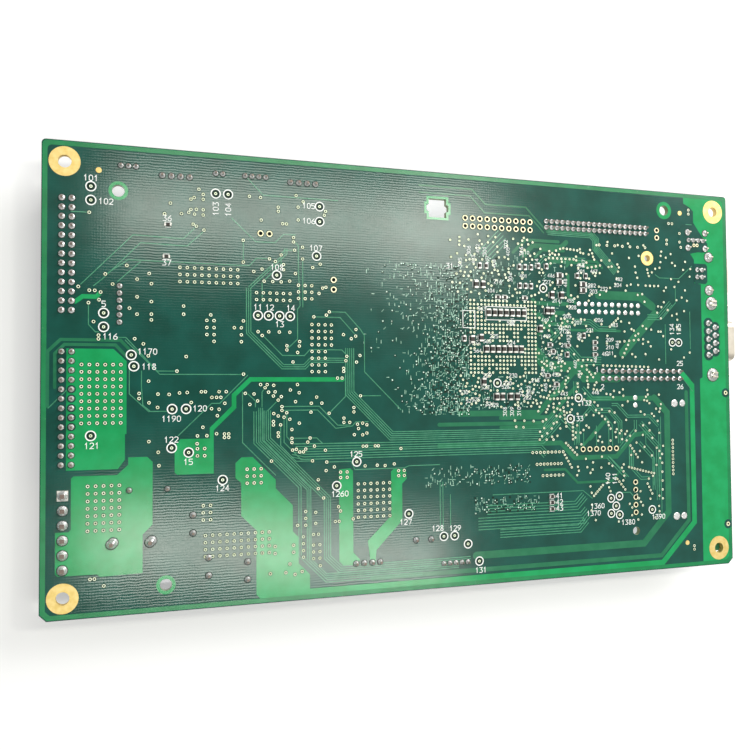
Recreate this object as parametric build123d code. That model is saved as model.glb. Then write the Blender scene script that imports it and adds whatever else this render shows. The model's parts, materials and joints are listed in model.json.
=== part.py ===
from build123d import *
import os

# Main board of a label printer, lying component side down.
# X runs along the long edge, Y along the short edge, +Z leaves the solder side.
# The origin is the centre of the four corner fixing holes, on the solder face.
# All sizes are in millimetres.  Solder, tracks and the plated holes that carry no part are
# left to the finish.

# ---- bare board --------------------------------------------------------------------------
BOARD_X = 224.0
BOARD_Y = 129.0
BOARD_THICK = 1.6
CORNER_ROUND = 1.2
CORNER_CUT = 1.8
FIXING_X = 212.4
FIXING_Y = 117.5
FIXING_R = 1.8
TAIL = 1.5                     # how far every wire end stands out of the solder face
FLOOR_DEPTH = 12.5             # tallest parts, measured from the component face

# Further drilled holes: x, y, radius.
DRILLED = [
    (-92.4, 51.7, 1.65),       # locating peg, left
    (85.9, 58.0, 1.7),         # locating peg, right
    (-79.6, -57.1, 1.6),       # locating peg, bottom
    (72.8, -51.0, 1.35),       # tooling hole
    (78.75, 41.1, 1.2),        # plated standoff hole
]

# Snap-post opening: a square with a nose on each side.
POST_X, POST_Y = 2.1, 53.2
POST_SIZE = 5.8
POST_NOSE_SPAN = 7.3
POST_NOSE_WIDTH = 2.2
POST_NOSE_CORNER = 0.5

# ---- shrouded two-row headers ------------------------------------------------------------
# name: x, y, direction of the rows, columns, style
HEADERS = {
    "panel_header": (-105.6, 33.6, "y", 13, "wide"),
    "print_head_header": (-105.5, -8.05, "y", 13, "wide"),
    "option_header": (75.95, 1.3, "x", 13, "wide"),
    "interface_header": (59.2, 50.45, "x", 20, "fine"),
}
HEADER_STYLE = {
    "wide": dict(pitch=2.54, pin=0.64, width=8.9, ends=7.6, height=9.0, wall=1.2, floor=2.5, pins=8.3),
    "fine": dict(pitch=2.0, pin=0.5, width=6.6, ends=4.4, height=6.8, wall=0.9, floor=1.9, pins=6.2),
}
HEADER_FOOT = 0.4
KEY_WIDTH = 4.5
HEADER_FOOT_LENGTH = 3.0            # feet left at both ends of a shroud, under the relief
HEADER_RIM_BEVEL = 0.4              # share of the wall

# ---- single-row sockets ------------------------------------------------------------------
# name: x, y, direction of the row, pins, style
SOCKETS = {
    "keypad_socket": (-92.0, 20.4, "y", 6, "fine"),
    "label_sensor_socket": (-89.75, 58.8, "x", 3, "fine"),
    "ribbon_motor_socket": (-77.0, 56.9, "x", 4, "motor"),
    "head_switch_socket": (-65.0, 58.6, "x", 2, "fine"),
    "ribbon_sensor_socket": (-54.65, 58.6, "x", 4, "fine"),
    "rewind_motor_socket": (-40.6, 57.7, "x", 4, "motor"),
    "feed_motor_socket": (-21.2, -55.1, "x", 4, "motor"),
    "cutter_socket": (7.15, -57.0, "x", 5, "fine"),
}
GUIDE_WIDTH = 0.45                  # guide slot of a socket: share of the pitch
GUIDE_DEPTH = 0.75                  # and share of the cavity
SOCKET_STYLE = {
    "fine": dict(pitch=2.0, pin=0.5, width=4.5, ends=1.95, height=6.0, wall=0.7, floor=1.6, pins=5.0),
    "motor": dict(pitch=2.5, pin=0.64, width=5.75, ends=2.45, height=7.0, wall=0.8, floor=2.0, pins=6.2),
}

# ---- power connector with a friction wall ------------------------------------------------
POWER_X, POWER_Y = -106.3, -41.4
POWER_PINS = 6
POWER_PITCH = 3.96
POWER_PIN = 1.14
POWER_PIN_DEPTH = 11.9
POWER_HALF = 3.9                    # from the pin row to the open side of the base bar
POWER_BASE = 3.2                    # thickness of the base bar
POWER_WALL_OUTER = -4.9             # outer and inner face of the friction wall
POWER_WALL_INNER = -3.3
POWER_WALL_TIP = 11.4
POWER_RAMP_START, POWER_RAMP_TOP = 8.2, 9.4
POWER_RAMP_REACH = 0.9              # how far the locking ramp leans over the pins
POWER_TIP_SLOPE = 0.2
POWER_SLIT = 0.9                    # slits that let the wall flex between the pins
POWER_SLIT_START = 4.7
POWER_SLIT_REACH = 5.0

# ---- nine-way serial connector -----------------------------------------------------------
SERIAL_Y = 13.9
SERIAL_DEPTH = FLOOR_DEPTH / 2      # middle of the mating face, below the board
FLANGE_X = 111.5                    # back of the flange
FLANGE_THICK = 0.8
FLANGE_WIDTH = 30.8
FLANGE_CORNER = 1.0
LOCK_SPAN = 25.0
LOCK_STEM_R = 1.6
STEM_SIDES = 8                      # hidden stems and contact mouths are polygons, to stay light
MOUTH_SIDES = 6
COLLAR_LENGTH = 5.9
COLLAR_WIDTH = 16.3
COLLAR_HEIGHT = 7.9
COLLAR_ROUND = 2.4
COLLAR_SLOPE = 80                   # degrees between a sloped side and the wide side
COLLAR_WALL = 0.4
CONTACT_PITCH = 2.77
CONTACT_ROWS = 2.84
CONTACT_SIZE = 0.6
CONTACT_MOUTH = 0.55
SERIAL_NEAR_X = 106.35              # solder row of the four contacts next to the board
SERIAL_LOCK_X = 105.0
SERIAL_BLOCK_BACK = 108.2
SERIAL_BLOCK_WIDTH = 19.5
SERIAL_BLOCK_HEIGHT = 10.1
FACE_SETBACK = 0.4                  # the insulator's face lies this far inside the collar
BRACKET_WIDTH = 5.2
BRACKET_BACK = 102.6
BRACKET_FOOT = 1.0
BRACKET_LEG = 1.2
PRONG_LENGTH, PRONG_THICK = 2.2, 0.5
PRONG_SPAN = 1.4                    # between the two prongs of one board lock
SCREW_FLATS_R = 2.4                 # half the width across the hexagon's flats
SCREW_LENGTH = 4.6
SCREW_BORE_R = 1.25
SCREW_BORE_START = 1.0

# ---- square USB-style device socket ------------------------------------------------------
USB_BACK, USB_FRONT = 97.9, 113.9
USB_Y = 36.8
USB_WIDTH = 12.0
USB_HEIGHT = 11.0
USB_WALL = 0.35
USB_TAB_X = 104.15
USB_TAB = 1.6
USB_TAB_ROOT = 1.0                  # how far a tab reaches down the sleeve
USB_CONTACTS_X = (99.3, 101.3)
USB_CONTACT_GAP = 2.5
USB_CONTACT = 0.5
USB_STRIP = 0.3
USB_STRIP_LEVEL = 1.6               # above and below the middle of the socket
USB_STRIP_SETBACK = 2.0
USB_FLOOR_OPENING = (100.3, 4.6, 9.6)   # middle along X, length, width of the opening for the wires
USB_SETBACK = 0.8                   # the insulator's face lies this far inside the sleeve
USB_MOUTH = (8.45, 7.8)
USB_MOUTH_BEVEL = 1.7
USB_MOUTH_DEPTH = 9.0
USB_TONGUE = (5.6, 3.2)

# ---- upright shielded four-way socket ----------------------------------------------------
AUX_X, AUX_Y = 99.2, 48.3
AUX_SIZE_X, AUX_SIZE_Y, AUX_HEIGHT = 8.3, 6.3, 7.2
AUX_WALL = 0.3
AUX_LEGS_X = (95.6, 102.8)
AUX_LEGS_Y = (45.6, 51.0)
AUX_CONTACTS_X = (95.9, 97.9, 99.9, 101.9)
AUX_LEG = 0.8
AUX_CONTACT = 0.5
AUX_CONTACT_DEPTH = 5.2
AUX_SETBACK = 1.2                   # the insulator ends this far inside the shell
AUX_MOUTH_WIDTH = 2.0
AUX_MOUTH_SHIFT = 0.9
AUX_MOUTH_START = 3.0
AUX_MOUTH_END_WALL = 0.6

# ---- radial electrolytic capacitors: x, y, direction of the lead pair --------------------
CAPACITORS = [
    (-72.3, -40.8, "y"),
    (-68.0, -52.9, "y"),
    (-57.1, -54.8, "y"),
    (-3.45, -49.3, "x"),
]
CAN_R = 5.0
CAN_LEAD_PITCH = 5.0
LEAD_SIZE = 0.6

# ---- supply choke, film capacitor, surface-mount capacitor -------------------------------
CHOKE_X, CHOKE_Y = -88.95, -45.2
CHOKE_LEAD_SPAN = 10.1
CHOKE_SIZE, CHOKE_HEIGHT = 14.5, 10.5
CHOKE_BASE = 1.2
CHOKE_RIM = 1.0                     # height of the tray's rim
CHOKE_WALL = 0.5
CHOKE_CORNER = 2.6
CHOKE_LEAD = 1.0
FILM_X, FILM_Y = -84.3, -30.7
FILM_SIZE = (13.0, 5.0, 10.5)
FILM_LEAD_SPAN = 10.1
FILM_LEAD_DEPTH = 2.0
FILM_CORNER = 0.6
FILM_RIB = 1.0                      # width and height of the two standing ribs
FILM_RIB_HEIGHT = 0.5
SMALL_CAN_X, SMALL_CAN_Y = -84.0, 42.0
SMALL_CAN_BASE = 10.3
SMALL_CAN_BASE_THICK = 1.0
SMALL_CAN_CUT = 2.0
SMALL_CAN_EDGE = 0.6

# ---- chips: x, y, size along X, size along Y, height -------------------------------------
PROCESSOR = [(25.0, 14.8, 27.0, 27.0, 2.2)]
MEMORY = [(-2.0, 24.0, 22.2, 10.2, 1.1), (-2.0, 8.0, 22.2, 10.2, 1.1)]
FLASH = [(24.0, 37.0, 18.4, 12.0, 1.1)]
GATE_ARRAY = [(45.0, -12.0, 16.0, 16.0, 1.6)]
INTERFACE = [(47.0, 11.0, 14.0, 14.0, 1.5)]
MOTOR_DRIVERS = [(-35.2, 9.0, 11.0, 15.9, 3.2), (-19.3, -36.3, 11.0, 15.9, 3.2)]
LOGIC = [
    (94.0, 14.0, 7.5, 10.3, 2.4),
    (60.0, 36.5, 12.8, 7.5, 2.4),
    (60.0, 14.0, 10.3, 7.5, 2.4),
    (62.0, -33.0, 7.5, 12.8, 2.4),
    (80.5, -33.0, 7.5, 12.8, 2.4),
    (92.0, 34.0, 3.9, 4.9, 1.5),
    (-67.8, 29.2, 15.0, 5.6, 2.2),
]
CRYSTALS = [(46.0, 27.0), (61.0, -8.6)]
CRYSTAL_SIZE = (11.4, 4.7, 3.6)
CRYSTAL_END = 0.3                   # bevel of the ends, share of the width
INDUCTORS = [(-68.0, 40.0), (-52.0, 7.0)]
INDUCTOR_SIZE, INDUCTOR_HEIGHT = 12.3, 7.5
INDUCTOR_CORNER = 2.4
CHIP_DRAFT = 7                      # degrees
CAP_DRAFT = 20
CAP_INSET = 1.5                     # the processor's cap stands back from its laminate all round
CAP_START = 0.35                    # share of the height that is laminate

# Power packages with a metal tab: x, y of the body, body width.
POWER_PACKAGES = [(-95.6, -3.4, 10.2), (-96.5, -31.0, 6.6), (-59.5, -43.0, 10.2)]
POWER_BODY_LENGTH, POWER_BODY_HEIGHT = 8.0, 4.2
POWER_BODY_GAP = 0.2
POWER_BODY_DRAFT = 4
POWER_TAB_THICK = 1.2
POWER_TAB_REACH = 2.2
POWER_TAB_INSET = 0.8
POWER_TAB_HIDDEN = 1.5              # the tab stops this far short of the body's front
POWER_LEG = 0.9
POWER_LEG_THICK = 0.5
POWER_LEG_LEVEL = 1.9
POWER_LEG_REACH = 2.5
POWER_FOOT = 1.5

# Chip parts on the solder side: middle of each part, grouped by size along X and Y.
CHIP_HEIGHT = 0.5
CAPACITOR_HEIGHT = 0.9
DECOUPLING_ROWS = [(25.2, 21.0, 7, 2.07), (24.3, 9.4, 7, 2.03)]
UPRIGHT_CAPACITORS = [
    (13.4, 12.4), (16.4, 12.9), (17.2, -1.0), (21.6, -5.7), (23.6, -5.7), (26.4, -5.7), (28.8, -5.7),
    (41.8, 27.3), (45.3, 27.3), (40.0, 22.1), (41.7, 22.1), (37.4, 16.2), (14.8, 29.8), (17.2, 29.8),
]
LEVEL_CAPACITORS = [(44.6, 33.8), (44.6, 31.6), (53.3, 31.2), (53.3, 29.2)]
UPRIGHT_RESISTORS = [
    (16.2, 35.8), (18.5, 35.8), (30.2, 36.0), (32.2, 36.0), (34.4, 36.0), (37.0, 36.6), (40.0, 36.6),
    (30.3, 29.9), (32.3, 29.9), (34.3, 29.9), (10.7, 12.6), (47.3, 7.9), (53.6, 14.2), (51.4, 34.0),
    (54.6, 34.0),
]
LEVEL_RESISTORS = [
    (-79.2, 43.1), (-79.6, 34.1), (40.9, -38.1), (40.9, -40.0), (40.9, -42.1), (57.7, 12.0), (57.7, 10.1),
    (57.7, 8.0), (22.4, 26.0), (24.8, 26.0), (31.9, 26.0), (40.9, 11.0), (42.0, 8.9), (47.5, 10.9),
    (43.1, -1.8), (39.9, 1.0),
]
CAPACITOR_SIZE = (1.25, 2.0)
RESISTOR_SIZE = (0.8, 1.6)

CENTRE_TOP = (Align.CENTER, Align.CENTER, Align.MAX)
CENTRE_BOTTOM = (Align.CENTER, Align.CENTER, Align.MIN)
FROM_BACK = (Align.MIN, Align.CENTER, Align.CENTER)


# ---- helpers -----------------------------------------------------------------------------
def below(depth):
    """Height of the plane that lies this deep under the component face."""
    return -BOARD_THICK - depth


def block(x, y, size_x, size_y, top, height):
    """A box under the board; its upper face lies top below the component face."""
    return Pos(x, y, below(top)) * Box(size_x, size_y, height, align=CENTRE_TOP)


def along(direction, x, y, offset):
    """A point that lies offset from x, y along the named direction."""
    return (x + offset, y) if direction == "x" else (x, y + offset)


def row(x, y, count, pitch, direction):
    """Evenly spaced points, centred on x, y."""
    first = -(count - 1) * pitch / 2
    return [along(direction, x, y, first + i * pitch) for i in range(count)]


def across(direction):
    """The direction at right angles to the named one."""
    return "y" if direction == "x" else "x"


def turn(direction):
    """Rotation that lays a part's long side along the named direction."""
    return Rot(0, 0, 0 if direction == "x" else 90)


def pin(x, y, size, depth):
    """A square wire from its tail over the solder face to depth below the component face."""
    top = Pos(x, y, TAIL)
    return top * Box(size, size, TAIL + BOARD_THICK + depth, align=CENTRE_TOP)


def save(name, solids):
    """Write one sub-part; several separate solids go out as one group."""
    solids = solids if isinstance(solids, list) else [solids]
    shape = solids[0] if len(solids) == 1 else Compound(children=solids)
    export_step(shape, f"parts/{name}.step")


# ---- where every wire passes through the board -------------------------------------------
def header_points(name):
    x, y, direction, columns, style = HEADERS[name]
    pitch = HEADER_STYLE[style]["pitch"]
    lanes = [along(across(direction), x, y, side * pitch / 2) for side in (-1, 1)]
    return [point for lane in lanes for point in row(*lane, columns, pitch, direction)]


def socket_points(name):
    x, y, direction, pins, style = SOCKETS[name]
    return row(x, y, pins, SOCKET_STYLE[style]["pitch"], direction)


def power_points():
    return row(POWER_X, POWER_Y, POWER_PINS, POWER_PITCH, "y")


def serial_points():
    """Row of four next to the edge, then the row of five behind it."""
    near = row(SERIAL_NEAR_X, SERIAL_Y, 4, CONTACT_PITCH, "y")
    far = row(SERIAL_NEAR_X - CONTACT_ROWS, SERIAL_Y, 5, CONTACT_PITCH, "y")
    return near + far


def usb_points():
    return [(x, USB_Y + side * USB_CONTACT_GAP / 2) for x in USB_CONTACTS_X for side in (-1, 1)]


def capacitor_points():
    return [p for x, y, direction in CAPACITORS for p in row(x, y, 2, CAN_LEAD_PITCH, direction)]


def choke_points():
    return row(CHOKE_X, CHOKE_Y, 2, CHOKE_LEAD_SPAN, "x")


def film_points():
    return row(FILM_X, FILM_Y, 2, FILM_LEAD_SPAN, "x")


def lock_prongs():
    """Centres of the split board-lock prongs: two at each end of the serial connector."""
    ends = (SERIAL_Y - LOCK_SPAN / 2, SERIAL_Y + LOCK_SPAN / 2)
    return [(SERIAL_LOCK_X, y + side * PRONG_SPAN / 2) for y in ends for side in (-1, 1)]


def usb_tabs():
    half = (USB_WIDTH - USB_WALL) / 2
    return [(USB_TAB_X, USB_Y + side * half) for side in (-1, 1)]


def aux_legs():
    return [(x, y) for x in AUX_LEGS_X for y in AUX_LEGS_Y]


# ---- board -------------------------------------------------------------------------------
def wire_holes():
    """Close-fitting openings for every wire, tab and leg: width, length, points."""
    holes = []
    for name in HEADERS:
        size = HEADER_STYLE[HEADERS[name][4]]["pin"]
        holes.append((size, size, header_points(name)))
    for name in SOCKETS:
        size = SOCKET_STYLE[SOCKETS[name][4]]["pin"]
        holes.append((size, size, socket_points(name)))
    holes.append((POWER_PIN, POWER_PIN, power_points()))
    holes.append((CONTACT_SIZE, CONTACT_SIZE, serial_points()))
    holes.append((USB_CONTACT, USB_CONTACT, usb_points()))
    holes.append((USB_TAB, USB_WALL, usb_tabs()))
    holes.append((PRONG_LENGTH, PRONG_THICK, lock_prongs()))
    holes.append((AUX_LEG, AUX_WALL, aux_legs()))
    holes.append((AUX_CONTACT, AUX_CONTACT, [(x, AUX_Y) for x in AUX_CONTACTS_X]))
    holes.append((CHOKE_LEAD, CHOKE_LEAD, choke_points()))
    holes.append((LEAD_SIZE, LEAD_SIZE, capacitor_points() + film_points()))
    return holes


def board():
    outline = Rectangle(BOARD_X, BOARD_Y)
    outline = fillet(outline.vertices().group_by(Axis.Y)[-1], CORNER_ROUND)
    outline = chamfer(outline.vertices().group_by(Axis.Y)[0], CORNER_CUT)
    outline -= GridLocations(FIXING_X, FIXING_Y, 2, 2) * Circle(FIXING_R)
    outline -= [Pos(x, y) * Circle(r) for x, y, r in DRILLED]
    nose = Rectangle(POST_NOSE_SPAN, POST_NOSE_WIDTH)
    nose = chamfer(nose.vertices(), POST_NOSE_CORNER)
    outline -= Pos(POST_X, POST_Y) * (Rectangle(POST_SIZE, POST_SIZE) + nose)
    for width, length, points in wire_holes():
        outline -= [Pos(x, y) * Rectangle(width, length) for x, y in points]
    return extrude(outline, -BOARD_THICK)


# ---- shrouded headers --------------------------------------------------------------------
def header_shroud(columns, style):
    """Box shroud, long side along X, seated on z = 0 and opening downwards."""
    s = HEADER_STYLE[style]
    length = columns * s["pitch"] + s["ends"]
    body = Box(length, s["width"], s["height"], align=CENTRE_TOP)
    depth = s["height"] - s["floor"]
    cavity = Box(length - 2 * s["wall"], s["width"] - 2 * s["wall"], depth, align=CENTRE_TOP)
    body -= Pos(0, 0, -s["floor"]) * cavity
    rim = body.faces().sort_by(Axis.Z)[0].inner_wires()[0]
    body = chamfer(rim.edges(), s["wall"] * HEADER_RIM_BEVEL)
    key = Box(KEY_WIDTH, s["wall"] * 3, depth, align=CENTRE_TOP)
    body -= Pos(0, -s["width"] / 2, -s["floor"]) * key
    relief = Box(length - 2 * HEADER_FOOT_LENGTH, 2 * s["width"], HEADER_FOOT, align=CENTRE_TOP)
    body -= relief
    slot = Box((columns - 1) * s["pitch"] + s["pin"], s["pin"], s["height"], align=CENTRE_TOP)
    for side in (-1, 1):
        body -= Pos(0, side * s["pitch"] / 2, 0) * slot
    return body


def header(name):
    x, y, direction, columns, style = HEADERS[name]
    return Pos(x, y, below(0)) * turn(direction) * header_shroud(columns, style)


def header_pins(name):
    s = HEADER_STYLE[HEADERS[name][4]]
    return [pin(x, y, s["pin"], s["pins"]) for x, y in header_points(name)]


# ---- single-row sockets ------------------------------------------------------------------
def socket(name):
    """Open-topped wafer with two guide slots in one long wall and a slot for its pins."""
    x, y, direction, pins, style = SOCKETS[name]
    s = SOCKET_STYLE[style]
    span = (pins - 1) * s["pitch"]
    length = span + 2 * s["ends"]
    body = Box(length, s["width"], s["height"], align=CENTRE_TOP)
    depth = s["height"] - s["floor"]
    cavity = Box(length - 2 * s["wall"], s["width"] - 2 * s["wall"], depth, align=CENTRE_TOP)
    body -= Pos(0, 0, -s["floor"]) * cavity
    guide_depth = depth * GUIDE_DEPTH
    guide = Box(s["pitch"] * GUIDE_WIDTH, s["wall"] * 3, guide_depth, align=CENTRE_BOTTOM)
    for side in (-1, 1):
        body -= Pos(side * span / 2, -s["width"] / 2, -s["height"]) * guide
    body -= Box(span + s["pin"], s["pin"], s["height"], align=CENTRE_TOP)
    return Pos(x, y, below(0)) * turn(direction) * body


def socket_pins(style):
    s = SOCKET_STYLE[style]
    names = [name for name in SOCKETS if SOCKETS[name][4] == style]
    return [pin(x, y, s["pin"], s["pins"]) for name in names for x, y in socket_points(name)]


# ---- power connector ---------------------------------------------------------------------
def power_connector():
    """Base bar with a tall friction wall and its locking ramp, extruded along the row."""
    ramp_x = POWER_WALL_INNER + POWER_RAMP_REACH
    profile = Polyline(
        (POWER_WALL_OUTER, 0), (POWER_HALF, 0), (POWER_HALF, -POWER_BASE),
        (POWER_WALL_INNER, -POWER_BASE), (POWER_WALL_INNER, -POWER_RAMP_START),
        (ramp_x, -POWER_RAMP_TOP), (POWER_WALL_INNER - POWER_TIP_SLOPE, -POWER_WALL_TIP),
        (POWER_WALL_OUTER, -POWER_WALL_TIP), close=True,
    )
    length = POWER_PINS * POWER_PITCH
    start = (POWER_X, POWER_Y - length / 2, below(0))
    side = Plane(origin=start, x_dir=(1, 0, 0), z_dir=(0, -1, 0))
    body = extrude(side * make_face(profile), -length)
    body -= power_connector_pins()
    wall_x = POWER_X + POWER_WALL_OUTER
    for x, y in row(wall_x, POWER_Y, POWER_PINS - 1, POWER_PITCH, "y"):
        body -= block(x, y, POWER_SLIT_REACH, POWER_SLIT, POWER_SLIT_START, FLOOR_DEPTH)
    return body


def power_connector_pins():
    return [pin(x, y, POWER_PIN, POWER_PIN_DEPTH) for x, y in power_points()]


# ---- serial connector --------------------------------------------------------------------
def mating_plane(x):
    """Plane across the serial connector: local X along the board's edge, local Y up."""
    return Plane(origin=(x, SERIAL_Y, below(SERIAL_DEPTH)), x_dir=(0, 1, 0), z_dir=(1, 0, 0))


def d_outline(inset):
    """The rounded D of the mating face, wide side away from the board."""
    shape = Trapezoid(COLLAR_WIDTH - 2 * inset, COLLAR_HEIGHT - 2 * inset, COLLAR_SLOPE)
    return fillet(shape.vertices(), COLLAR_ROUND - inset)


def serial_shell():
    """Flange with a D collar drawn out of it."""
    flange = Rectangle(FLANGE_WIDTH, FLOOR_DEPTH)
    flange = chamfer(flange.vertices(), FLANGE_CORNER)
    flange -= GridLocations(LOCK_SPAN, 1, 2, 1) * RegularPolygon(LOCK_STEM_R, STEM_SIDES)
    plate = extrude(mating_plane(FLANGE_X) * flange, FLANGE_THICK)
    tip = FLANGE_THICK + COLLAR_LENGTH
    shell = plate + extrude(mating_plane(FLANGE_X) * d_outline(0), tip)
    shell -= extrude(mating_plane(FLANGE_X) * d_outline(COLLAR_WALL), tip)
    return shell


def contact_places():
    """Mouth of every contact on the mating face, as offsets along the edge and up."""
    near = [(offset, CONTACT_ROWS / 2) for offset, _ in row(0, 0, 4, CONTACT_PITCH, "x")]
    far = [(offset, -CONTACT_ROWS / 2) for offset, _ in row(0, 0, 5, CONTACT_PITCH, "x")]
    return near + far


def serial_contacts():
    """Bent wires: level through the block, then up through the board."""
    wires = []
    for (x, y), (_, lift) in zip(serial_points(), contact_places()):
        level = below(SERIAL_DEPTH) + lift
        height = TAIL - level + CONTACT_SIZE / 2
        upright = Pos(x, y, TAIL) * Box(CONTACT_SIZE, CONTACT_SIZE, height, align=CENTRE_TOP)
        level_run = Box(FLANGE_X - x, CONTACT_SIZE, CONTACT_SIZE, align=FROM_BACK)
        wires.append(upright + Pos(x, y, level) * level_run)
    return wires


def serial_insulator():
    """Moulded block behind the flange, with the D-shaped face that fills the collar."""
    rear = Rectangle(SERIAL_BLOCK_WIDTH, SERIAL_BLOCK_HEIGHT)
    body = extrude(mating_plane(SERIAL_BLOCK_BACK) * rear, FLANGE_X - SERIAL_BLOCK_BACK)
    face = FLANGE_THICK + COLLAR_LENGTH - FACE_SETBACK
    body += extrude(mating_plane(FLANGE_X) * d_outline(COLLAR_WALL), face)
    mouths = [Pos(u, v) * RegularPolygon(CONTACT_MOUTH, MOUTH_SIDES) for u, v in contact_places()]
    body -= extrude(mating_plane(FLANGE_X) * Sketch(children=mouths), face)
    for wire in serial_contacts():
        body -= wire
    return body


def serial_brackets():
    """Angle bracket at each end: foot on the board, leg on the flange, split board lock."""
    brackets = []
    foot_x = (BRACKET_BACK + FLANGE_X) / 2
    leg_x = FLANGE_X - BRACKET_LEG / 2
    for end in (-1, 1):
        y = SERIAL_Y + end * LOCK_SPAN / 2
        foot = block(foot_x, y, FLANGE_X - BRACKET_BACK, BRACKET_WIDTH, 0, BRACKET_FOOT)
        leg = block(leg_x, y, BRACKET_LEG, BRACKET_WIDTH, 0, FLOOR_DEPTH)
        shape = foot + leg
        for px, py in lock_prongs():
            if abs(py - y) < PRONG_SPAN:
                height = TAIL + BOARD_THICK + BRACKET_FOOT / 2
                shape += Pos(px, py, TAIL) * Box(PRONG_LENGTH, PRONG_THICK, height, align=CENTRE_TOP)
        brackets.append(shape)
    return brackets


def serial_screw_locks():
    """Hexagon standoffs on the flange, each with a bore and a stem that fills the flange's hole."""
    screws = []
    for end in (-1, 1):
        y = SERIAL_Y + end * LOCK_SPAN / 2
        seat = Plane(origin=(FLANGE_X + FLANGE_THICK, y, below(SERIAL_DEPTH)), z_dir=(1, 0, 0))
        head = extrude(seat * RegularPolygon(SCREW_FLATS_R, 6, major_radius=False), SCREW_LENGTH)
        head -= extrude(seat.offset(SCREW_BORE_START) * Circle(SCREW_BORE_R), SCREW_LENGTH)
        stem = extrude(seat * RegularPolygon(LOCK_STEM_R, STEM_SIDES), -FLANGE_THICK)
        screws.append(head + stem)
    return screws


# ---- device socket -----------------------------------------------------------------------
def usb_outline(inset):
    return Rectangle(USB_WIDTH - 2 * inset, USB_HEIGHT - 2 * inset)


def usb_plane(x):
    """Plane across the device socket: local X along the board's edge, local Y up."""
    return Plane(origin=(x, USB_Y, below(USB_HEIGHT / 2)), x_dir=(0, 1, 0), z_dir=(1, 0, 0))


def usb_shell():
    """Folded sheet-metal sleeve, closed at the back, with a soldered tab on each side."""
    depth = USB_FRONT - USB_BACK
    shell = extrude(usb_plane(USB_BACK) * usb_outline(0), depth)
    shell -= extrude(usb_plane(USB_BACK + USB_WALL) * usb_outline(USB_WALL), depth)
    opening_x, length, width = USB_FLOOR_OPENING
    shell -= block(opening_x, USB_Y, length, width, 0, USB_WALL)
    for x, y in usb_tabs():
        height = TAIL + BOARD_THICK + USB_TAB_ROOT
        shell += Pos(x, y, TAIL) * Box(USB_TAB, USB_WALL, height, align=CENTRE_TOP)
    return shell


def usb_insulator():
    """Block that fills the sleeve, with the keyed mouth and its contact tongue."""
    back = USB_BACK + USB_WALL
    front = USB_FRONT - USB_SETBACK
    body = extrude(usb_plane(back) * usb_outline(USB_WALL), front - back)
    mouth = Rectangle(*USB_MOUTH)
    mouth = chamfer(mouth.vertices().group_by(Axis.Y)[0], USB_MOUTH_BEVEL)
    mouth -= Rectangle(*USB_TONGUE)
    body -= extrude(usb_plane(front - USB_MOUTH_DEPTH) * mouth, USB_MOUTH_DEPTH)
    for wire in usb_contacts():
        body -= wire
    return body


def usb_contacts():
    """Four wires: up through the board at the back, flat strips on the tongue in front."""
    wires = []
    for x, y in usb_points():
        side = 1 if x == USB_CONTACTS_X[1] else -1
        level = below(USB_HEIGHT / 2) + side * USB_STRIP_LEVEL
        height = TAIL - level + USB_STRIP / 2
        upright = Pos(x, y, TAIL) * Box(USB_CONTACT, USB_CONTACT, height, align=CENTRE_TOP)
        strip = Box(USB_FRONT - USB_STRIP_SETBACK - x, USB_CONTACT, USB_STRIP, align=FROM_BACK)
        wires.append(upright + Pos(x, y, level) * strip)
    return wires


# ---- upright shielded socket -------------------------------------------------------------
def aux_bore():
    """Inner size of the upright shell."""
    return AUX_SIZE_X - 2 * AUX_WALL, AUX_SIZE_Y - 2 * AUX_WALL


def aux_socket_shell():
    shell = block(AUX_X, AUX_Y, AUX_SIZE_X, AUX_SIZE_Y, 0, AUX_HEIGHT)
    shell -= block(AUX_X, AUX_Y, *aux_bore(), 0, AUX_HEIGHT)
    for x, y in aux_legs():
        side = 1 if y > AUX_Y else -1
        ear_y = AUX_Y + side * (AUX_SIZE_Y - AUX_WALL) / 2
        leg = Pos(x, y, TAIL) * Box(AUX_LEG, AUX_WALL, TAIL + BOARD_THICK, align=CENTRE_TOP)
        foot_length = abs(ear_y - y) + AUX_WALL
        foot = block(x, (y + ear_y) / 2, AUX_LEG, foot_length, 0, AUX_WALL)
        shell += leg + foot
    return shell


def aux_socket_insulator():
    inner_x, inner_y = aux_bore()
    body = block(AUX_X, AUX_Y, inner_x, inner_y, AUX_WALL, AUX_HEIGHT - AUX_SETBACK)
    mouth_x = inner_x - 2 * AUX_MOUTH_END_WALL
    mouth_y = AUX_Y + AUX_MOUTH_SHIFT
    body -= block(AUX_X, mouth_y, mouth_x, AUX_MOUTH_WIDTH, AUX_MOUTH_START, AUX_HEIGHT)
    return body - aux_socket_contacts()


def aux_socket_contacts():
    return [pin(x, AUX_Y, AUX_CONTACT, AUX_CONTACT_DEPTH) for x in AUX_CONTACTS_X]


# ---- capacitors and choke ----------------------------------------------------------------
def capacitor_can(x, y):
    """Radial can standing on the board."""
    return Pos(x, y, below(0)) * Cylinder(CAN_R, FLOOR_DEPTH, align=CENTRE_TOP)


def choke_core():
    """Shielded ferrite pot with cut corners, seated in the recess of its base."""
    size = CHOKE_SIZE - 2 * CHOKE_WALL
    outline = Rectangle(size, size)
    outline = chamfer(outline.vertices(), CHOKE_CORNER)
    return extrude(Pos(CHOKE_X, CHOKE_Y, below(CHOKE_BASE)) * outline, CHOKE_BASE - CHOKE_HEIGHT)


def choke_base():
    """Moulded tray: a plate with a low rim round the foot of the core."""
    tray = block(CHOKE_X, CHOKE_Y, CHOKE_SIZE, CHOKE_SIZE, 0, CHOKE_BASE + CHOKE_RIM)
    tray -= choke_core()
    return tray - choke_leads()


def choke_leads():
    return [pin(x, y, CHOKE_LEAD, CHOKE_BASE) for x, y in choke_points()]


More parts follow.
